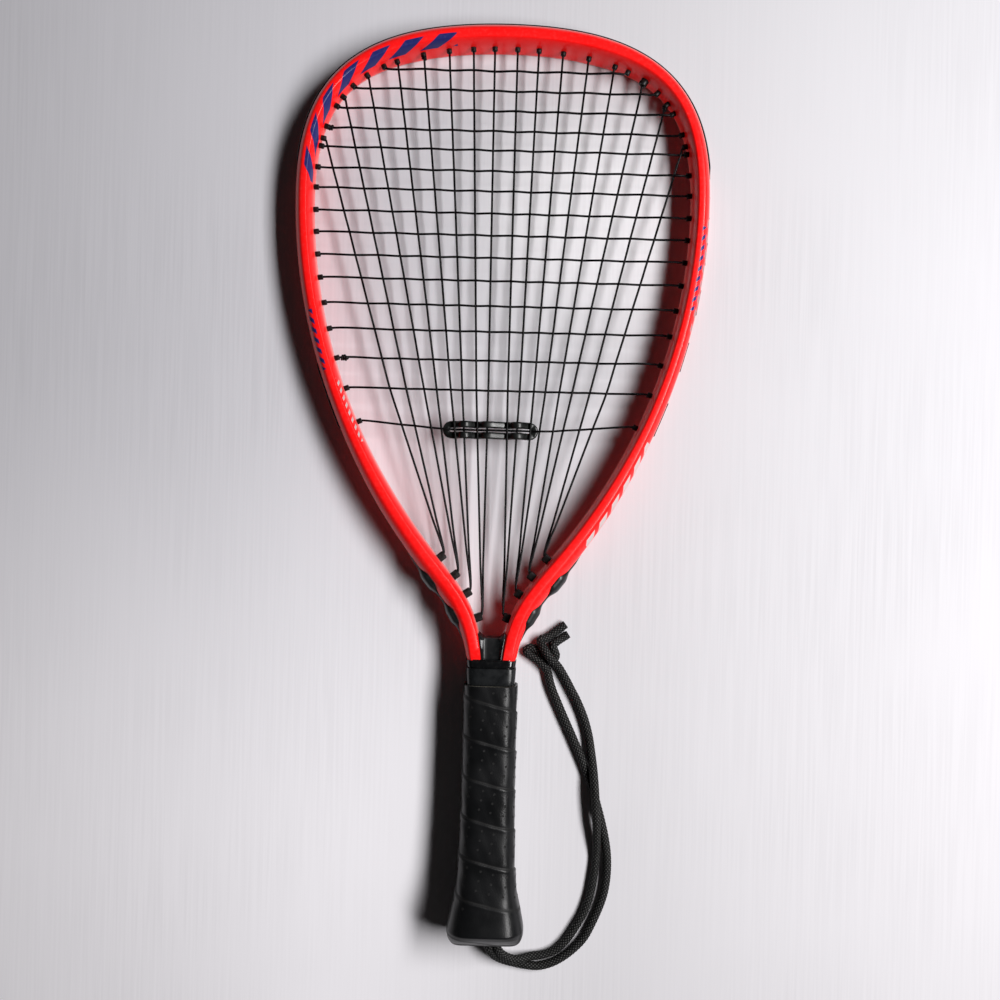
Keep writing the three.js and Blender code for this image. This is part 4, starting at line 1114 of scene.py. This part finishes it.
def throatBlock(s, finish):
    # a barrel end: a square block with soft edges and a dark opening
    size = throatShape["barrelSize"] / 2
    face = -halfWidthAt(s) - barrelShape["throatReach"]
    out = railAt(s)[1]
    across = np.array([-out[1], out[0], 0.0])
    rings = [
        [place(s, u, w) + a * across for a, w in roundedSection(half, half, power, 24)]
        for u, half, power in (
            (-halfWidthAt(s) + 1.0, size, 6), (face + 0.9, size, 6), (face + 0.3, size * 0.97, 5.5),
            (face, size * 0.86, 5), (face - 0.02, size * 0.6, 3), (face + 1.4, size * 0.5, 3),
        )
    ]
    return skinRings("throatBlock", layDown(rings), finish, sharp=35)


addThroatBumpers()
print("throat bumpers placed")


# Strings: two strings make all mains and crosses, over and under each other


def insidePoint(s, w):
    return place(s, -halfWidthAt(s) - barrelShape["reach"] - stringShape["bendRoom"], w)


def throatPoint(s, w):
    return place(s, -halfWidthAt(s) - barrelShape["throatReach"] + 0.2, w)


def isTie(s):
    return any(abs(s - tie) < 1e-6 for tie in tiePlaces)


def stackSide(number):
    return 1 if number % 2 == 0 else -1


def mainHoleHeight(number, side):
    if not isTie(mainPlace(number, side)):
        return 0.0
    return stringShape["tieWeave"] * (1 if number == fifthMain else -1)


def mainCorners(number, side):
    knee = insidePoint(crossPlace(crossCount - 2, side), 0.0)
    knee[0] = side * stringShape["knees"][number] * railShape["halfWidth"]
    return (
        insidePoint(mainPlace(number, side), mainHoleHeight(number, side)), knee,
        throatPoint(throatPlace(number, side), stringShape["tieWeave"] * stackSide(number)),
    )


def mainAcross(number, side, y):
    top, knee, foot = mainCorners(number, side)
    a, b = (top, knee) if y > knee[1] else (knee, foot)
    return b[0] + (a[0] - b[0]) * (y - b[1]) / (a[1] - b[1])


def crossUp(number, x):
    end = insidePoint(crossPlace(number, 1), 0.0)
    if number < crossCount - 1:
        return end[1]
    return end[1] - stringShape["lastCrossDip"] * min(1, (end[0] - abs(x)) / (end[0] - stringShape["lastCrossFlat"]))


def crossing(number, side, crossNumber):
    # where a main and a cross pass each other, and which is on top; near a barrel a string stays low
    x = mainAcross(number, side, crossUp(crossNumber, 0))
    for i in range(4):
        x = mainAcross(number, side, crossUp(crossNumber, x))
    y = crossUp(crossNumber, x)
    top = mainCorners(number, side)[0]
    end = insidePoint(crossPlace(crossNumber, 1), 0.0)
    if top[1] - y < 0.5 or end[0] - abs(x) < 0.5:
        return None
    order = number if side < 0 else 2 * mainCount - 1 - number
    over = -1 if (order + crossNumber) % 2 == 0 else 1
    mainNear = 1 - min(1, (top[1] - y) / stringShape["ramp"])
    crossNear = 1 - min(1, (end[0] - abs(x)) / stringShape["ramp"])
    weave = stringShape["weave"]
    shift = weave * (crossNear - mainNear)
    return np.array([x, y, over * (weave + shift)]), np.array([x, y, over * (-weave + shift)])


def mainRun(number, side):
    s = mainPlace(number, side)
    top, foot = mainCorners(number, side)[::2]
    points = [place(s, loopLevel(s), top[2]), top]
    for crossNumber in range(crossCount):
        meeting = crossing(number, side, crossNumber)
        if meeting:
            points.append(meeting[0])
    barrel = throatPlace(number, side)
    above = foot + (points[-1] - foot) * 0.3
    above[2] = foot[2]
    return [*points, above, foot, place(barrel, loopLevel(barrel), foot[2])]


def outsideLoop(start, end, height):
    shape = stringShape
    way, span = math.copysign(1, end - start), abs(end - start)
    runs = (shape["tieLaneRun"] if isTie(s) else shape["laneRun"] for s in (start, end))
    first, last = (min(run, shape["laneRunShare"] * span) for run in runs)
    middles = max(1, round(span / shape["loopStep"]))
    stops = np.linspace(start + way * first, end - way * last, middles + 2)
    return [place(s, loopLevel(s), height) for s in stops]


def tieEnd(s, w):
    return [place(s, loopLevel(s), w), place(s, -halfWidthAt(s) - barrelShape["reach"] - 0.3, w)]


def mainStringPoints():
    order = [0, 2, 1, 3, 4, 6, 5, 7]
    lane, tie = stringShape["lane"], stringShape["tieWeave"]
    runs = [(number, 1) for number in order] + [(number, -1) for number in order[::-1]]
    points = tieEnd(mainPlace(secondMain, 1), tie)[::-1]
    points += outsideLoop(mainPlace(secondMain, 1), mainPlace(0, 1), lane)
    for i, (number, side) in enumerate(runs):
        run = mainRun(number, side)
        points += run if i % 2 == 0 else run[::-1]
        if i + 1 == len(runs):
            break
        nextNumber, nextSide = runs[i + 1]
        if i % 2 == 0:
            middle = (throatPlace(number, side) + throatPlace(nextNumber, nextSide)) / 2
            points.append(place(middle, loopLevel(middle), tie * stackSide(number)))
        else:
            points += outsideLoop(mainPlace(number, side), mainPlace(nextNumber, nextSide), lane)
    points += outsideLoop(mainPlace(0, -1), crossPlace(fourthCross, -1), lane)
    return points + tieEnd(crossPlace(fourthCross, -1), tie)


def crossRun(number):
    ends = []
    for side in (-1, 1):
        s = crossPlace(number, side)
        height = -stringShape["tieWeave"] if isTie(s) else 0.0
        ends.append([place(s, loopLevel(s), height), insidePoint(s, height)])
    met = [crossing(main, side, number) for side in (-1, 1) for main in range(mainCount)]
    middle = sorted((meeting[1] for meeting in met if meeting), key=lambda point: point[0])
    return [*ends[0], *middle, *ends[1][::-1]]


def crossStringPoints():
    start = mainPlace(fifthMain, -1)
    lane, tie = stringShape["lane"], stringShape["tieWeave"]
    points = tieEnd(start, -tie)[::-1] + outsideLoop(start, crossPlace(0, -1), -lane)
    for number in range(crossCount):
        rightward = number % 2 == 0
        run = crossRun(number)
        points += run if rightward else run[::-1]
        if number + 1 < crossCount:
            side = 1 if rightward else -1
            points += outsideLoop(crossPlace(number, side), crossPlace(number + 1, side), -lane)
    end = crossPlace(lowTieCross, -1)
    return points + outsideLoop(crossPlace(crossCount - 1, -1), end, lane) + tieEnd(end, tie)


def softenCorners(points, reach=0.9, limit=18):
    # a sharp corner becomes two points close to it, so that the string bends only there
    points = [np.asarray(point, float) for point in points]
    softened = [points[0]]
    for before, at, after in zip(points, points[1:], points[2:]):
        a, b = unit(at - before), unit(after - at)
        if math.degrees(math.acos(max(-1, min(1, float(a @ b))))) < limit:
            softened.append(at)
            continue
        softened.append(at - a * min(reach, 0.4 * np.linalg.norm(at - before)))
        softened.append(at + b * min(reach, 0.4 * np.linalg.norm(after - at)))
    return softened + [points[-1]]


def stringFinish():
    finish, tree, shader = startMaterial("blackString", IOR=1.45, Specular_IOR_Level=0.15)
    fine = useGroup(tree, grain, Fine_Scale=3500.0, Mottle_Scale=260.0)
    film = useGroup(tree, dust, Scale=1500.0, Amount=0.015)["Mask"]
    base = mixColour(tree, fine["Mottle"], (0.0010, 0.0010, 0.0012), (0.003, 0.003, 0.0033))
    dusty = mixColour(tree, film, base, (0.16, 0.16, 0.17))
    dressShader(tree, shader, dusty, roughBetween(tree, fine["Mottle"], 0.24, 0.42), (fine["Height"], 0.3, 0.00003))
    return finish


tieShape = {
    "pitch": 1.23,
    "turnSteps": 26,
    "tight": (0.25, 1.05, 1.6),  # distance from the barrel, radius and turns of a tie that is pulled home
    "loose": (1.6, 1.32, 2.3),  # the lowest tie on the left stands off its barrel, with a cut tail
}


def knotTurns(points, s, height, style):
    # turns of string round the one that it is tied to, just inside a hole
    off, size, turnCount = tieShape[style]
    at = insidePoint(s, height)
    near = min(range(1, len(points) - 1), key=lambda i: np.linalg.norm(points[i] - at))
    centre = np.array([0.0, railShape["widest"], 0.0])
    inner = min((points[near - 1], points[near + 1]), key=lambda point: np.linalg.norm(point - centre))
    along = unit(inner - at)
    side = unit(np.cross(along, (0.0, 0.0, 1.0)))
    up = np.cross(side, along)
    turns = np.linspace(0, 2 * np.pi * turnCount, round(tieShape["turnSteps"] * turnCount))[:, None]
    radius = size + 0.1 * size * np.sin(turns * 1.7)
    way = along * (off + tieShape["pitch"] * turns / (2 * np.pi))
    line = at + way + radius * (np.cos(turns) * side + np.sin(turns) * up)
    if style == "tight":
        return line
    tail = line[-1] + np.outer(np.linspace(0.3, 1.9, 6), unit(0.7 * side + 0.5 * along - 0.3 * up))
    return np.concatenate([line, tail])


def addStrings():
    mains, crosses = mainStringPoints(), crossStringPoints()
    values = {"Diameter": stringShape["seenDiameter"] / 1000, "Sides": 10, "Finish": stringFinish()}

    def addThread(name, node, line):
        settle(runTree(name, lineSource(layDown(line)), threads, values), "string", node)

    addThread("mainString", "main_string", smoothLine(softenCorners(mains), stringShape["step"]))
    addThread("crossString", "cross_string", smoothLine(softenCorners(crosses), stringShape["step"]))
    for name, node, points, s, way, style in (
        ("knotRight", "main_string_knot_right", mains, mainPlace(secondMain, 1), -1, "tight"),
        ("knotLeft", "main_string_knot_left", crosses, crossPlace(fourthCross, -1), -1, "tight"),
        ("knotUpper", "cross_string_knot_upper", mains, mainPlace(fifthMain, -1), 1, "tight"),
        ("knotLower", "cross_string_knot_lower", crosses, crossPlace(lowTieCross, -1), -1, "loose"),
    ):
        addThread(name, node, knotTurns(points, s, way * stringShape["tieWeave"], style))


addStrings()
print("strings woven")


# Dampener: a flat rubber ring woven through seven mains round the last cross
dampenerShape = {
    "left": -27.8,
    "right": 19.6,
    "halfGap": 3.3,
    "width": 4.2,
    "thickness": 2.4,
    "lift": 1.75,
    "endLift": 2.5,
    "crest": 1.2,
    "step": 0.5,
    "spokes": 20,
}


def rubberFinish(name, colour, sheen):
    finish, tree, shader = startMaterial(name, IOR=1.47, Specular_IOR_Level=0.35)
    fine = useGroup(tree, grain, Fine_Scale=1800.0, Mottle_Scale=160.0)
    film = useGroup(tree, dust, Scale=1100.0, Amount=0.02)["Mask"]
    dusty = mixColour(tree, film, mixColour(tree, fine["Mottle"], colour, sheen), (0.2, 0.21, 0.2))
    dressShader(tree, shader, dusty, roughBetween(tree, fine["Mottle"], 0.22, 0.36), (fine["Height"], 0.4, 0.00005))
    return finish


def addDampener():
    d = dampenerShape
    middle = crossUp(crossCount - 1, 0)
    met = [crossing(main, side, crossCount - 1) for side in (-1, 1) for main in range(mainCount)]
    held = sorted(
        (pair[0] for pair in met if pair and d["left"] < pair[0][0] < d["right"] + d["halfGap"]), key=lambda p: p[0]
    )
    bar = [
        (min(main[0] + off, d["right"]), -math.copysign(d["lift"], main[2]))
        for main in held for off in (-d["crest"], d["crest"])
    ]

    def arc(centre, turn):
        return [
            (centre + d["halfGap"] * math.cos(a), middle + d["halfGap"] * math.sin(a), -d["endLift"])
            for a in turn + np.pi * np.arange(1, 6) / 6
        ]

    path = [(x, middle - d["halfGap"], z) for x, z in bar] + arc(d["right"], -np.pi / 2)
    path += [(x, middle + d["halfGap"], z) for x, z in bar[::-1]] + arc(d["left"], np.pi / 2)
    line = smoothLine(path, d["step"], closed=True)
    tangents = np.roll(line, -1, axis=0) - np.roll(line, 1, axis=0)
    tangents /= np.linalg.norm(tangents, axis=1)[:, None]
    across = np.stack([-tangents[:, 1], tangents[:, 0], np.zeros(len(line))], axis=1)
    across /= np.linalg.norm(across, axis=1)[:, None]
    up = np.cross(tangents, across)
    section = roundedSection(d["width"] / 2, d["thickness"] / 2, 2.7, d["spokes"])
    rings = line[:, None, :] + section[None, :, :1] * across[:, None, :] + section[None, :, 1:] * up[:, None, :]
    rubber = rubberFinish("dampenerRubber", (0.004, 0.0045, 0.0045), (0.011, 0.0125, 0.012))
    piece = skinRings("dampener", layDown(rings), rubber, loop=True, sharp=60)
    settle(piece, "soft_rubber", "vibration_dampener")


addDampener()
print("dampener woven in")


# Handle pieces are lofts along Y round an eight-sided outline with soft edges
handleShape = {
    "length": 157.0,
    "halfWidth": 14.25,
    "halfDepth": 11.7,
    "flareWidth": 7.25,
    "flareDepth": 6.3,
    "flareHeights": [0, 2, 6, 12, 22, 32, 46, 85, 157],
    "flareShares": [1, 1, 1, 1, 0.72, 0.36, 0.16, 0, 0],
    "endHeights": [0, 0.6, 2, 4, 6.5, 9, 12],
    "endWidths": [0.66, 0.78, 0.88, 0.94, 0.975, 0.995, 1],
    "endDepths": [0.30, 0.40, 0.53, 0.69, 0.83, 0.93, 1],
    "endRises": [0.04, 0.13, 0.27, 0.45, 0.66, 0.84, 1],  # the same on the upper half
    "bevelShare": 0.42,
    "softness": 12,  # higher is a crisper edge between the flats
}
gripShape = {
    "start": 4.2,
    "fit": 0.3,
    "thickness": 1.7,
    "pitch": 23.5,
    "seamOffset": 23.4,
    "plainEnd": 27.0,  # below this the wrap is one smooth skin
    "step": 0.5,
    "fallStart": 0.955,  # share of a turn where the wrap's edge begins to fall
    "fallLength": 0.045,
    "lip": 0.16,
    "lipPlace": 0.94,
    "lipWidth": 0.05,
    "seam": 0.22,
    "seamWidth": 0.03,
    "ringStep": 0.5,
    "spokes": 112,
    "meanRadius": 15.5,
    "holeRadius": 0.64,
    "holeColumns": 7.4,  # millimetres round the handle from one column of holes to the next
    "holeRows": [7.2, 13.0, 18.8],
    "holeSlant": -0.15,
}

# the flare's shares, evened out along the handle
flarePlaces = np.arange(-20, 200, 0.5)
flareWindow = np.hanning(17) / np.hanning(17).sum()
flareTable = np.interp(flarePlaces, handleShape["flareHeights"], handleShape["flareShares"])
flareTable = np.convolve(flareTable, flareWindow, "same")


def flareAt(y):
    return np.interp(y, flarePlaces, flareTable)


def softOctagon(halfWidth, halfDepth, bevel, angle, softness):
    # the distance from the middle to a soft-edged eight-sided outline, in the given direction
    c, s = np.abs(np.cos(angle)), np.abs(np.sin(angle))
    corner = (halfWidth + halfDepth - bevel) / math.sqrt(2)
    total = (c / halfWidth) ** softness + (s / halfDepth) ** softness + ((c + s) / math.sqrt(2) / corner) ** softness
    return total ** (-1 / softness)


def handleRadius(y, angle, extra):
    h = handleShape
    flare = flareAt(y)
    halfWidth = (h["halfWidth"] + h["flareWidth"] * flare) * np.interp(y, h["endHeights"], h["endWidths"]) + extra
    dome = np.where(
        np.sin(angle) > 0, np.interp(y, h["endHeights"], h["endRises"]), np.interp(y, h["endHeights"], h["endDepths"])
    )
    halfDepth = (h["halfDepth"] + h["flareDepth"] * flare) * dome + extra
    return softOctagon(halfWidth, halfDepth, halfDepth * h["bevelShare"], angle, h["softness"])


def gripPhase(y, angle):
    return ((y + gripShape["seamOffset"]) / gripShape["pitch"] - angle / (2 * np.pi)) % 1


def gripRadius(y, angle):
    g = gripShape
    phase = gripPhase(y, angle)
    fall = np.clip((phase - g["fallStart"]) / g["fallLength"], 0, 1)
    lip = g["lip"] * np.exp(-(((g["lipPlace"] - phase) / g["lipWidth"]) ** 2))
    seam = g["seam"] * np.exp(-((np.minimum(phase, 1 - phase) / g["seamWidth"]) ** 2))
    wrap = g["step"] * (phase * (1 - fall * fall * (3 - 2 * fall)) - 0.5) + lip - seam
    wave = 0.10 * np.sin(5 * angle + y * 0.21) * np.sin(y * 0.13 + 1) + 0.06 * np.sin(11 * angle - y * 0.37)
    wound = np.clip((y - g["plainEnd"] + 5) / 8, 0, 1)
    skin = handleRadius(y, angle, g["fit"] + g["thickness"] - 0.25 * (1 - wound))
    return skin + wrap * wound + wave * (0.3 + 0.7 * wound)


def aroundHandle(radius, angle, y):
    radius, angle, y = np.broadcast_arrays(radius, angle, y)
    return np.stack([radius * np.cos(angle), y, radius * np.sin(angle)], axis=-1)


def gripFinish():
    finish, tree, shader = startMaterial("blackGripWrap", IOR=1.46, Specular_IOR_Level=0.3, Sheen_Weight=0.02)
    fine = useGroup(tree, grain, Fine_Scale=1300.0, Mottle_Scale=55.0)
    rubbed = mathNode(tree, "MULTIPLY", useGroup(tree, scuffs, Scale=240.0, Coverage=0.2)["Mask"], 0.12)
    seam = pointValue(tree, "seamNearness")
    base = mixColour(tree, fine["Mottle"], (0.0035, 0.0038, 0.0042), (0.0065, 0.0068, 0.0075))
    # a little darker and even in tone along the seams
    seamDarkened = mixColour(tree, rangeNode(tree, seam, 0.2, 1.0), base, (0.004, 0.004, 0.004))
    worn = mixColour(tree, rubbed, seamDarkened, (0.025, 0.025, 0.027))
    height = mathNode(tree, "ADD", mathNode(tree, "MULTIPLY", cellNode(tree, 1500.0), 0.6), fine["Height"])
    rough = roughBetween(tree, fine["Mottle"], 0.30, 0.40, seam, 0.25)
    dressShader(tree, shader, worn, rough, (height, 0.45, 0.00012))
    return finish


# a dark matte disc: painted shade for the inside of a punched hole
def holeShadeFinish():
    finish, tree, shader = startMaterial("gripHolePaintedShade")
    mottle = useGroup(tree, grain, Fine_Scale=3000.0, Mottle_Scale=400.0)["Mottle"]
    colour = mixColour(tree, mottle, (0.0015, 0.0015, 0.0015), (0.004, 0.004, 0.004))
    dressShader(tree, shader, colour, rangeNode(tree, mottle, 0.0, 1.0, 0.75, 0.9))
    return finish


def addGrip():
    g = gripShape
    start, end = g["start"], handleShape["length"]
    heights = np.linspace(start, end, round((end - start) / g["ringStep"]) + 1)[:, None]
    angles = fullTurn(g["spokes"])
    edges = [
        (handleRadius(start, angles, 0.1), start + 1.0), (handleRadius(start, angles, 0.3), start - 0.5),
        (gripRadius(start, angles) - 0.6, start - 0.75), (gripRadius(end, angles) - 0.4, end + 0.12),
        (handleRadius(end, angles, 0.3), end), (handleRadius(end, angles, 0.2), end - 1.0),
    ]
    edges = [aroundHandle(radius, angles, y) for radius, y in edges]
    outer = aroundHandle(gripRadius(heights, angles), angles, heights)
    rings = np.concatenate([edges[:3], outer, edges[3:]])
    wrap = skinRings("gripWrap", onFloor(layDown(rings)), gripFinish(), ends="open", sharp=85)
    phase = gripPhase(heights, angles)
    near = np.exp(-((np.minimum(phase, 1 - phase) / 0.035) ** 2))
    paintPoints(wrap.data, "seamNearness", np.pad(near, ((3, 3), (0, 0))))
    settle(wrap, "grip", "grip_wrap")
    points, aims = [], []
    columns = round(2 * np.pi * g["meanRadius"] / g["holeColumns"])
    for turn in range(-1, 8):
        for column in range(columns):
            for row, up in enumerate(g["holeRows"]):
                angle = 2 * np.pi * (column + row * g["holeSlant"]) / columns
                y = (turn + angle / (2 * np.pi)) * g["pitch"] - g["seamOffset"] + up
                if not g["plainEnd"] < y < end - 1.5:
                    continue
                at, around, along = (
                    layDown(aroundHandle(gripRadius(b, a), a, b))
                    for a, b in ((angle, y), (angle + 0.03, y), (angle, y + 0.5))
                )
                aim = unit(np.cross(along - at, around - at))
                points.append(at + aim * 0.00002)
                aims.append(aim)
    holes = runTree("gripHoles", pointSource(points, aims, [1.0] * len(points)), dots, {
        "Radius": g["holeRadius"] / 1000, "Lip": 0.00011, "Finish": holeShadeFinish(),
    })
    settle(holes, "grip")
    print("grip has", len(points), "holes")


addGrip()
print("grip wrapped")


capShape = {
    "slotCentre": (3.5, -8.0),
    "slotHalf": (6.2, 3.3),
    "slotDepth": 9.0,
    "wallHeights": [14, 11, 8, 6, 4.5, 3.2, 2.2, 1.4, 0.8, 0.4],
    "rim": [(0.1, -0.3), (0.0, -1.2), (0.0, -2.6)],
    "sharp": 35,
    "spokes": 96,
}


def addButtCap():
    c = capShape
    finish = mouldedFinish(
        "capPlastic", (0.0035, 0.0035, 0.004), (0.03, 0.03, 0.032), 0.62, dustAmount=0.02, gloss=0.06
    )
    angles = fullTurn(c["spokes"])
    rings = [
        aroundHandle(np.maximum(handleRadius(y, angles, extra), 1.0), angles, y)
        for y, extra in [(y, 0.0) for y in c["wallHeights"]] + c["rim"]
    ]
    body = skinRings("buttCap", layDown(rings), finish, sharp=c["sharp"])
    x, z = c["slotCentre"]
    section = roundedSection(*c["slotHalf"], 4, 32)
    slot = [[(x + a, y, z + b) for a, b in section] for y in (-3.0, c["slotDepth"])]
    cutter = skinRings("slotCutter", layDown(slot), finish)
    cut = body.modifiers.new("slot", "BOOLEAN")
    cut.operation, cut.object, cut.solver = "DIFFERENCE", cutter, "EXACT"
    mesh = evaluatedMesh(body)
    bpy.data.objects.remove(body)
    bpy.data.objects.remove(cutter)
    mesh.set_sharp_from_angle(angle=math.radians(c["sharp"]))
    settle(putInScene("buttCap", mesh), "cap_plastic", "butt_cap")


addButtCap()
print("butt cap cut")


# Collar, tape and throat insert
neckShape = {
    "collar": (157.3, 167.5),
    "collarWall": 0.9,
    "tape": (167.8, 172.1),
    "tapeWall": 0.5,
    "sleeveFit": 0.6,
    "sleeveBevel": 2.4,
    "sleeveSoftness": 12,
    "sleeveSpokes": 112,
    "insertFoot": 157.3,
    "insertTop": 188.0,
    "insertNotch": 185.2,
    "insertFlatHalf": 4.3,
    "insertPanel": 6.7,
    "insertSide": 8.2,
}


def railPlaceAt(y):
    # the place along the rail at a height below the widest point
    below = railPoints[:, 1] < railShape["widest"]
    return float(np.interp(-y, -railPoints[below, 1], railAlong[below]))


def sleeveRadius(y, extra, angle):
    n, s = neckShape, railPlaceAt(y)
    width = railAt(s)[0][0] + halfWidthAt(s) + n["sleeveFit"] + extra
    depth = halfDepthAt(s) + n["sleeveFit"] + extra
    return softOctagon(width, depth, n["sleeveBevel"], angle, n["sleeveSoftness"])


def addSleeve(name, node, slotName, span, wall, finish, bulge):
    low, high = span
    angles = fullTurn(neckShape["sleeveSpokes"])
    profile = [
        (low - 0.8, -0.4), (low, -0.35), (low, wall - 0.35), (low + 0.12, wall - 0.1), (low + 0.45, wall),
        ((2 * low + high) / 3, wall + bulge), ((low + 2 * high) / 3, wall + bulge), (high - 0.45, wall),
        (high - 0.12, wall - 0.1), (high, wall - 0.35), (high, -0.35), (high + 0.5, -0.4),
    ]
    rings = [aroundHandle(sleeveRadius(y, extra, angles), angles, y) for y, extra in profile]
    settle(skinRings(name, layDown(rings), finish, ends="open", sharp=50), slotName, node)


def innerWallAt(y):
    # a little past the inner wall of a shaft, at a height
    s = railPlaceAt(y)
    return railAt(s)[0][0] - halfWidthAt(s) + 0.25


def addInsert():
    n = neckShape
    notch, top, flatHalf = n["insertNotch"], n["insertTop"], n["insertFlatHalf"]
    finish = mouldedFinish("insertPlastic", (0.0045, 0.005, 0.0055), (0.02, 0.022, 0.024), 0.28, dustAmount=0.015)
    rings = []
    for y in [*np.linspace(n["insertFoot"], notch - 0.7, 24), notch - 0.2, notch]:
        out = innerWallAt(y)
        edge = 0.45 if y >= notch else 0.12 if y > notch - 0.3 else 0.0
        flat, panel, side = min(flatHalf, out - 1.2), n["insertPanel"] - edge, n["insertSide"] - edge
        half = [
            (out, 0.0), (out, side - 1.5), (out, side - 0.2), (out - 0.3, side), (out - 0.7, side),
            (flat + 0.5, panel + 0.25), (flat, panel), (flat * 0.5, panel), (0.0, panel),
        ]
        upper = half + [(-x, z) for x, z in half[::-1][1:]]
        rings.append([(x, y, z) for x, z in upper + [(x, -z) for x, z in upper[::-1][1:-1]]])
    pieces = [skinRings("insertBody", layDown(rings), finish)]
    for side in (-1, 1):
        rows = []
        for y in np.linspace(notch - 1.0, top, 8):
            out = innerWallAt(y)
            share = max(0.0, (y - notch) / (top - notch))
            inner = flatHalf + (out - 0.5 - flatHalf) * share**0.7
            section = roundedSection((out - inner) / 2, n["insertSide"] - 0.6 * share, 5, 20)
            rows.append([(side * ((out + inner) / 2 + a), y, b) for a, b in section])
        pieces.append(skinRings("horn", layDown(rows), finish))
    settle(joinPieces("throatInsert", pieces), "trim_plastic", "throat_insert")


def addNeck():
    n = neckShape
    rubber = rubberFinish("collarRubber", (0.004, 0.0045, 0.005), (0.008, 0.009, 0.010))
    tape = mouldedFinish(
        "glossTape", (0.003, 0.0032, 0.0036), (0.02, 0.02, 0.022), 0.17, bumpDepth=0.00002, dustAmount=0.015
    )
    addSleeve("gripCollar", "grip_collar", "soft_rubber", n["collar"], n["collarWall"], rubber, 0.1)
    addSleeve("shaftTape", "shaft_tape", "tape", n["tape"], n["tapeWall"], tape, 0.0)
    addInsert()


addNeck()
print("collar, tape and insert fitted")


# The body and the staples inside the handle stay as the solids are, with their own finishes


def foamFinish():
    finish, tree, shader = startMaterial("handleFoam")
    mottle = useGroup(tree, grain, Fine_Scale=1200.0, Mottle_Scale=90.0)["Mottle"]
    cells = cellNode(tree, 900.0)
    colour = mixColour(tree, mottle, (0.12, 0.115, 0.095), (0.18, 0.17, 0.14))
    dressShader(tree, shader, colour, rangeNode(tree, cells, 0.0, 0.6, 0.7, 0.9), (cells, 0.6, 0.0002))
    return finish


def steelFinish():
    finish, tree, shader = startMaterial("stapleSteel", Metallic=1.0)
    brushed = noiseNode(tree, stretchedPlace(tree, (1.0, 1.0, 12.0)), 800.0, 4.0)
    colour = mixColour(tree, brushed, (0.5, 0.5, 0.52), (0.7, 0.7, 0.72))
    dressShader(tree, shader, colour, rangeNode(tree, brushed, 0.2, 0.8, 0.25, 0.45), (brushed, 0.3, 0.00003))
    return finish


def dressNode(node, finish):
    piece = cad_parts[node]
    piece.data.materials.clear()
    piece.data.materials.append(finish)


staples = steelFinish()
dressNode("handle_core", foamFinish())
dressNode("cap_staple_front", staples)
dressNode("cap_staple_back", staples)
print("inner parts finished")


# Floor and light
studio = {
    "floorHalf": 3.0,
    "keyPlace": (0.69, 0.04, 0.84),
    "keyLong": 0.95,  # a tall window: long beside the racket, narrow across it
    "keyNarrow": 0.24,
    "keyPower": 19.0,
    "keyColour": (1.0, 0.985, 0.985),
    "fill": 0.014,
    "fillColour": (1.0, 0.92, 0.90, 1),
}


def paperFinish():
    finish, tree, shader = startMaterial("palePaper", IOR=1.4, Specular_IOR_Level=0.1)
    coordinates = ownPlace(tree)
    streaks = noiseNode(tree, stretchedPlace(tree, (150.0, 2.5, 1.0)), 4.0, 3.0)
    cloud = noiseNode(tree, coordinates, 6.0, 3.0)
    mask = mathNode(tree, "MULTIPLY", rangeNode(tree, streaks, 0.3, 0.7), rangeNode(tree, cloud, 0.2, 0.8))
    axes = addNode(tree, "ShaderNodeSeparateXYZ", {0: coordinates}).outputs
    # the paper's colour is painted lighter towards the butt, most on the left, and darker on the right: painted light
    # and shade that evens out the lamp's fall-off
    near = rangeNode(tree, axes["Y"], 0.10, -0.24)
    left = mixColour(tree, near, (0.665, 0.66, 0.70), (0.93, 0.915, 0.955))
    right = mixColour(tree, near, (0.59, 0.585, 0.61), (0.625, 0.615, 0.64))
    paintedLightTone = mixColour(tree, rangeNode(tree, axes["X"], -0.12, 0.10), left, right)
    # a painted pool of light on the paper inside the hoop
    paintedPoolCentre = {0: coordinates, 1: (0.055, 0.165, 0.0)}
    away = addNode(tree, "ShaderNodeVectorMath", paintedPoolCentre, operation="DISTANCE").outputs["Value"]
    paintedLightTone = mixColour(tree, rangeNode(tree, away, 0.095, 0.02), paintedLightTone, (0.80, 0.79, 0.815))
    colour = mixColour(tree, mask, paintedLightTone, (0.92, 0.92, 0.92), "MULTIPLY")
    dressShader(tree, shader, colour, rangeNode(tree, streaks, 0.0, 1.0, 0.85, 0.95), (streaks, 0.06, 0.0004))
    return finish


def addStudio():
    half = studio["floorHalf"]
    mesh = bpy.data.meshes.new("paperFloor")
    mesh.from_pydata([(-half, -half, 0), (half, -half, 0), (half, half, 0), (-half, half, 0)], [], [(0, 1, 2, 3)])
    mesh.materials.append(paperFinish())
    putInScene("paperFloor", mesh)
    data = bpy.data.lights.new("keyLight", "AREA")
    data.shape = "RECTANGLE"
    data.size, data.size_y = studio["keyLong"], studio["keyNarrow"]
    data.energy = studio["keyPower"]
    data.color = studio["keyColour"]
    key = putInScene("keyLight", data)
    key.location = studio["keyPlace"]
    key.rotation_euler = Vector(studio["keyPlace"]).to_track_quat("Z", "Y").to_euler()
    world = bpy.data.worlds.new("studioFill")
    world.use_nodes = True
    background = world.node_tree.nodes["Background"]
    background.inputs["Color"].default_value = studio["fillColour"]
    background.inputs["Strength"].default_value = studio["fill"]
    bpy.context.scene.world = world
    bpy.context.scene.view_settings.view_transform = "Standard"


addStudio()
print("studio lit")
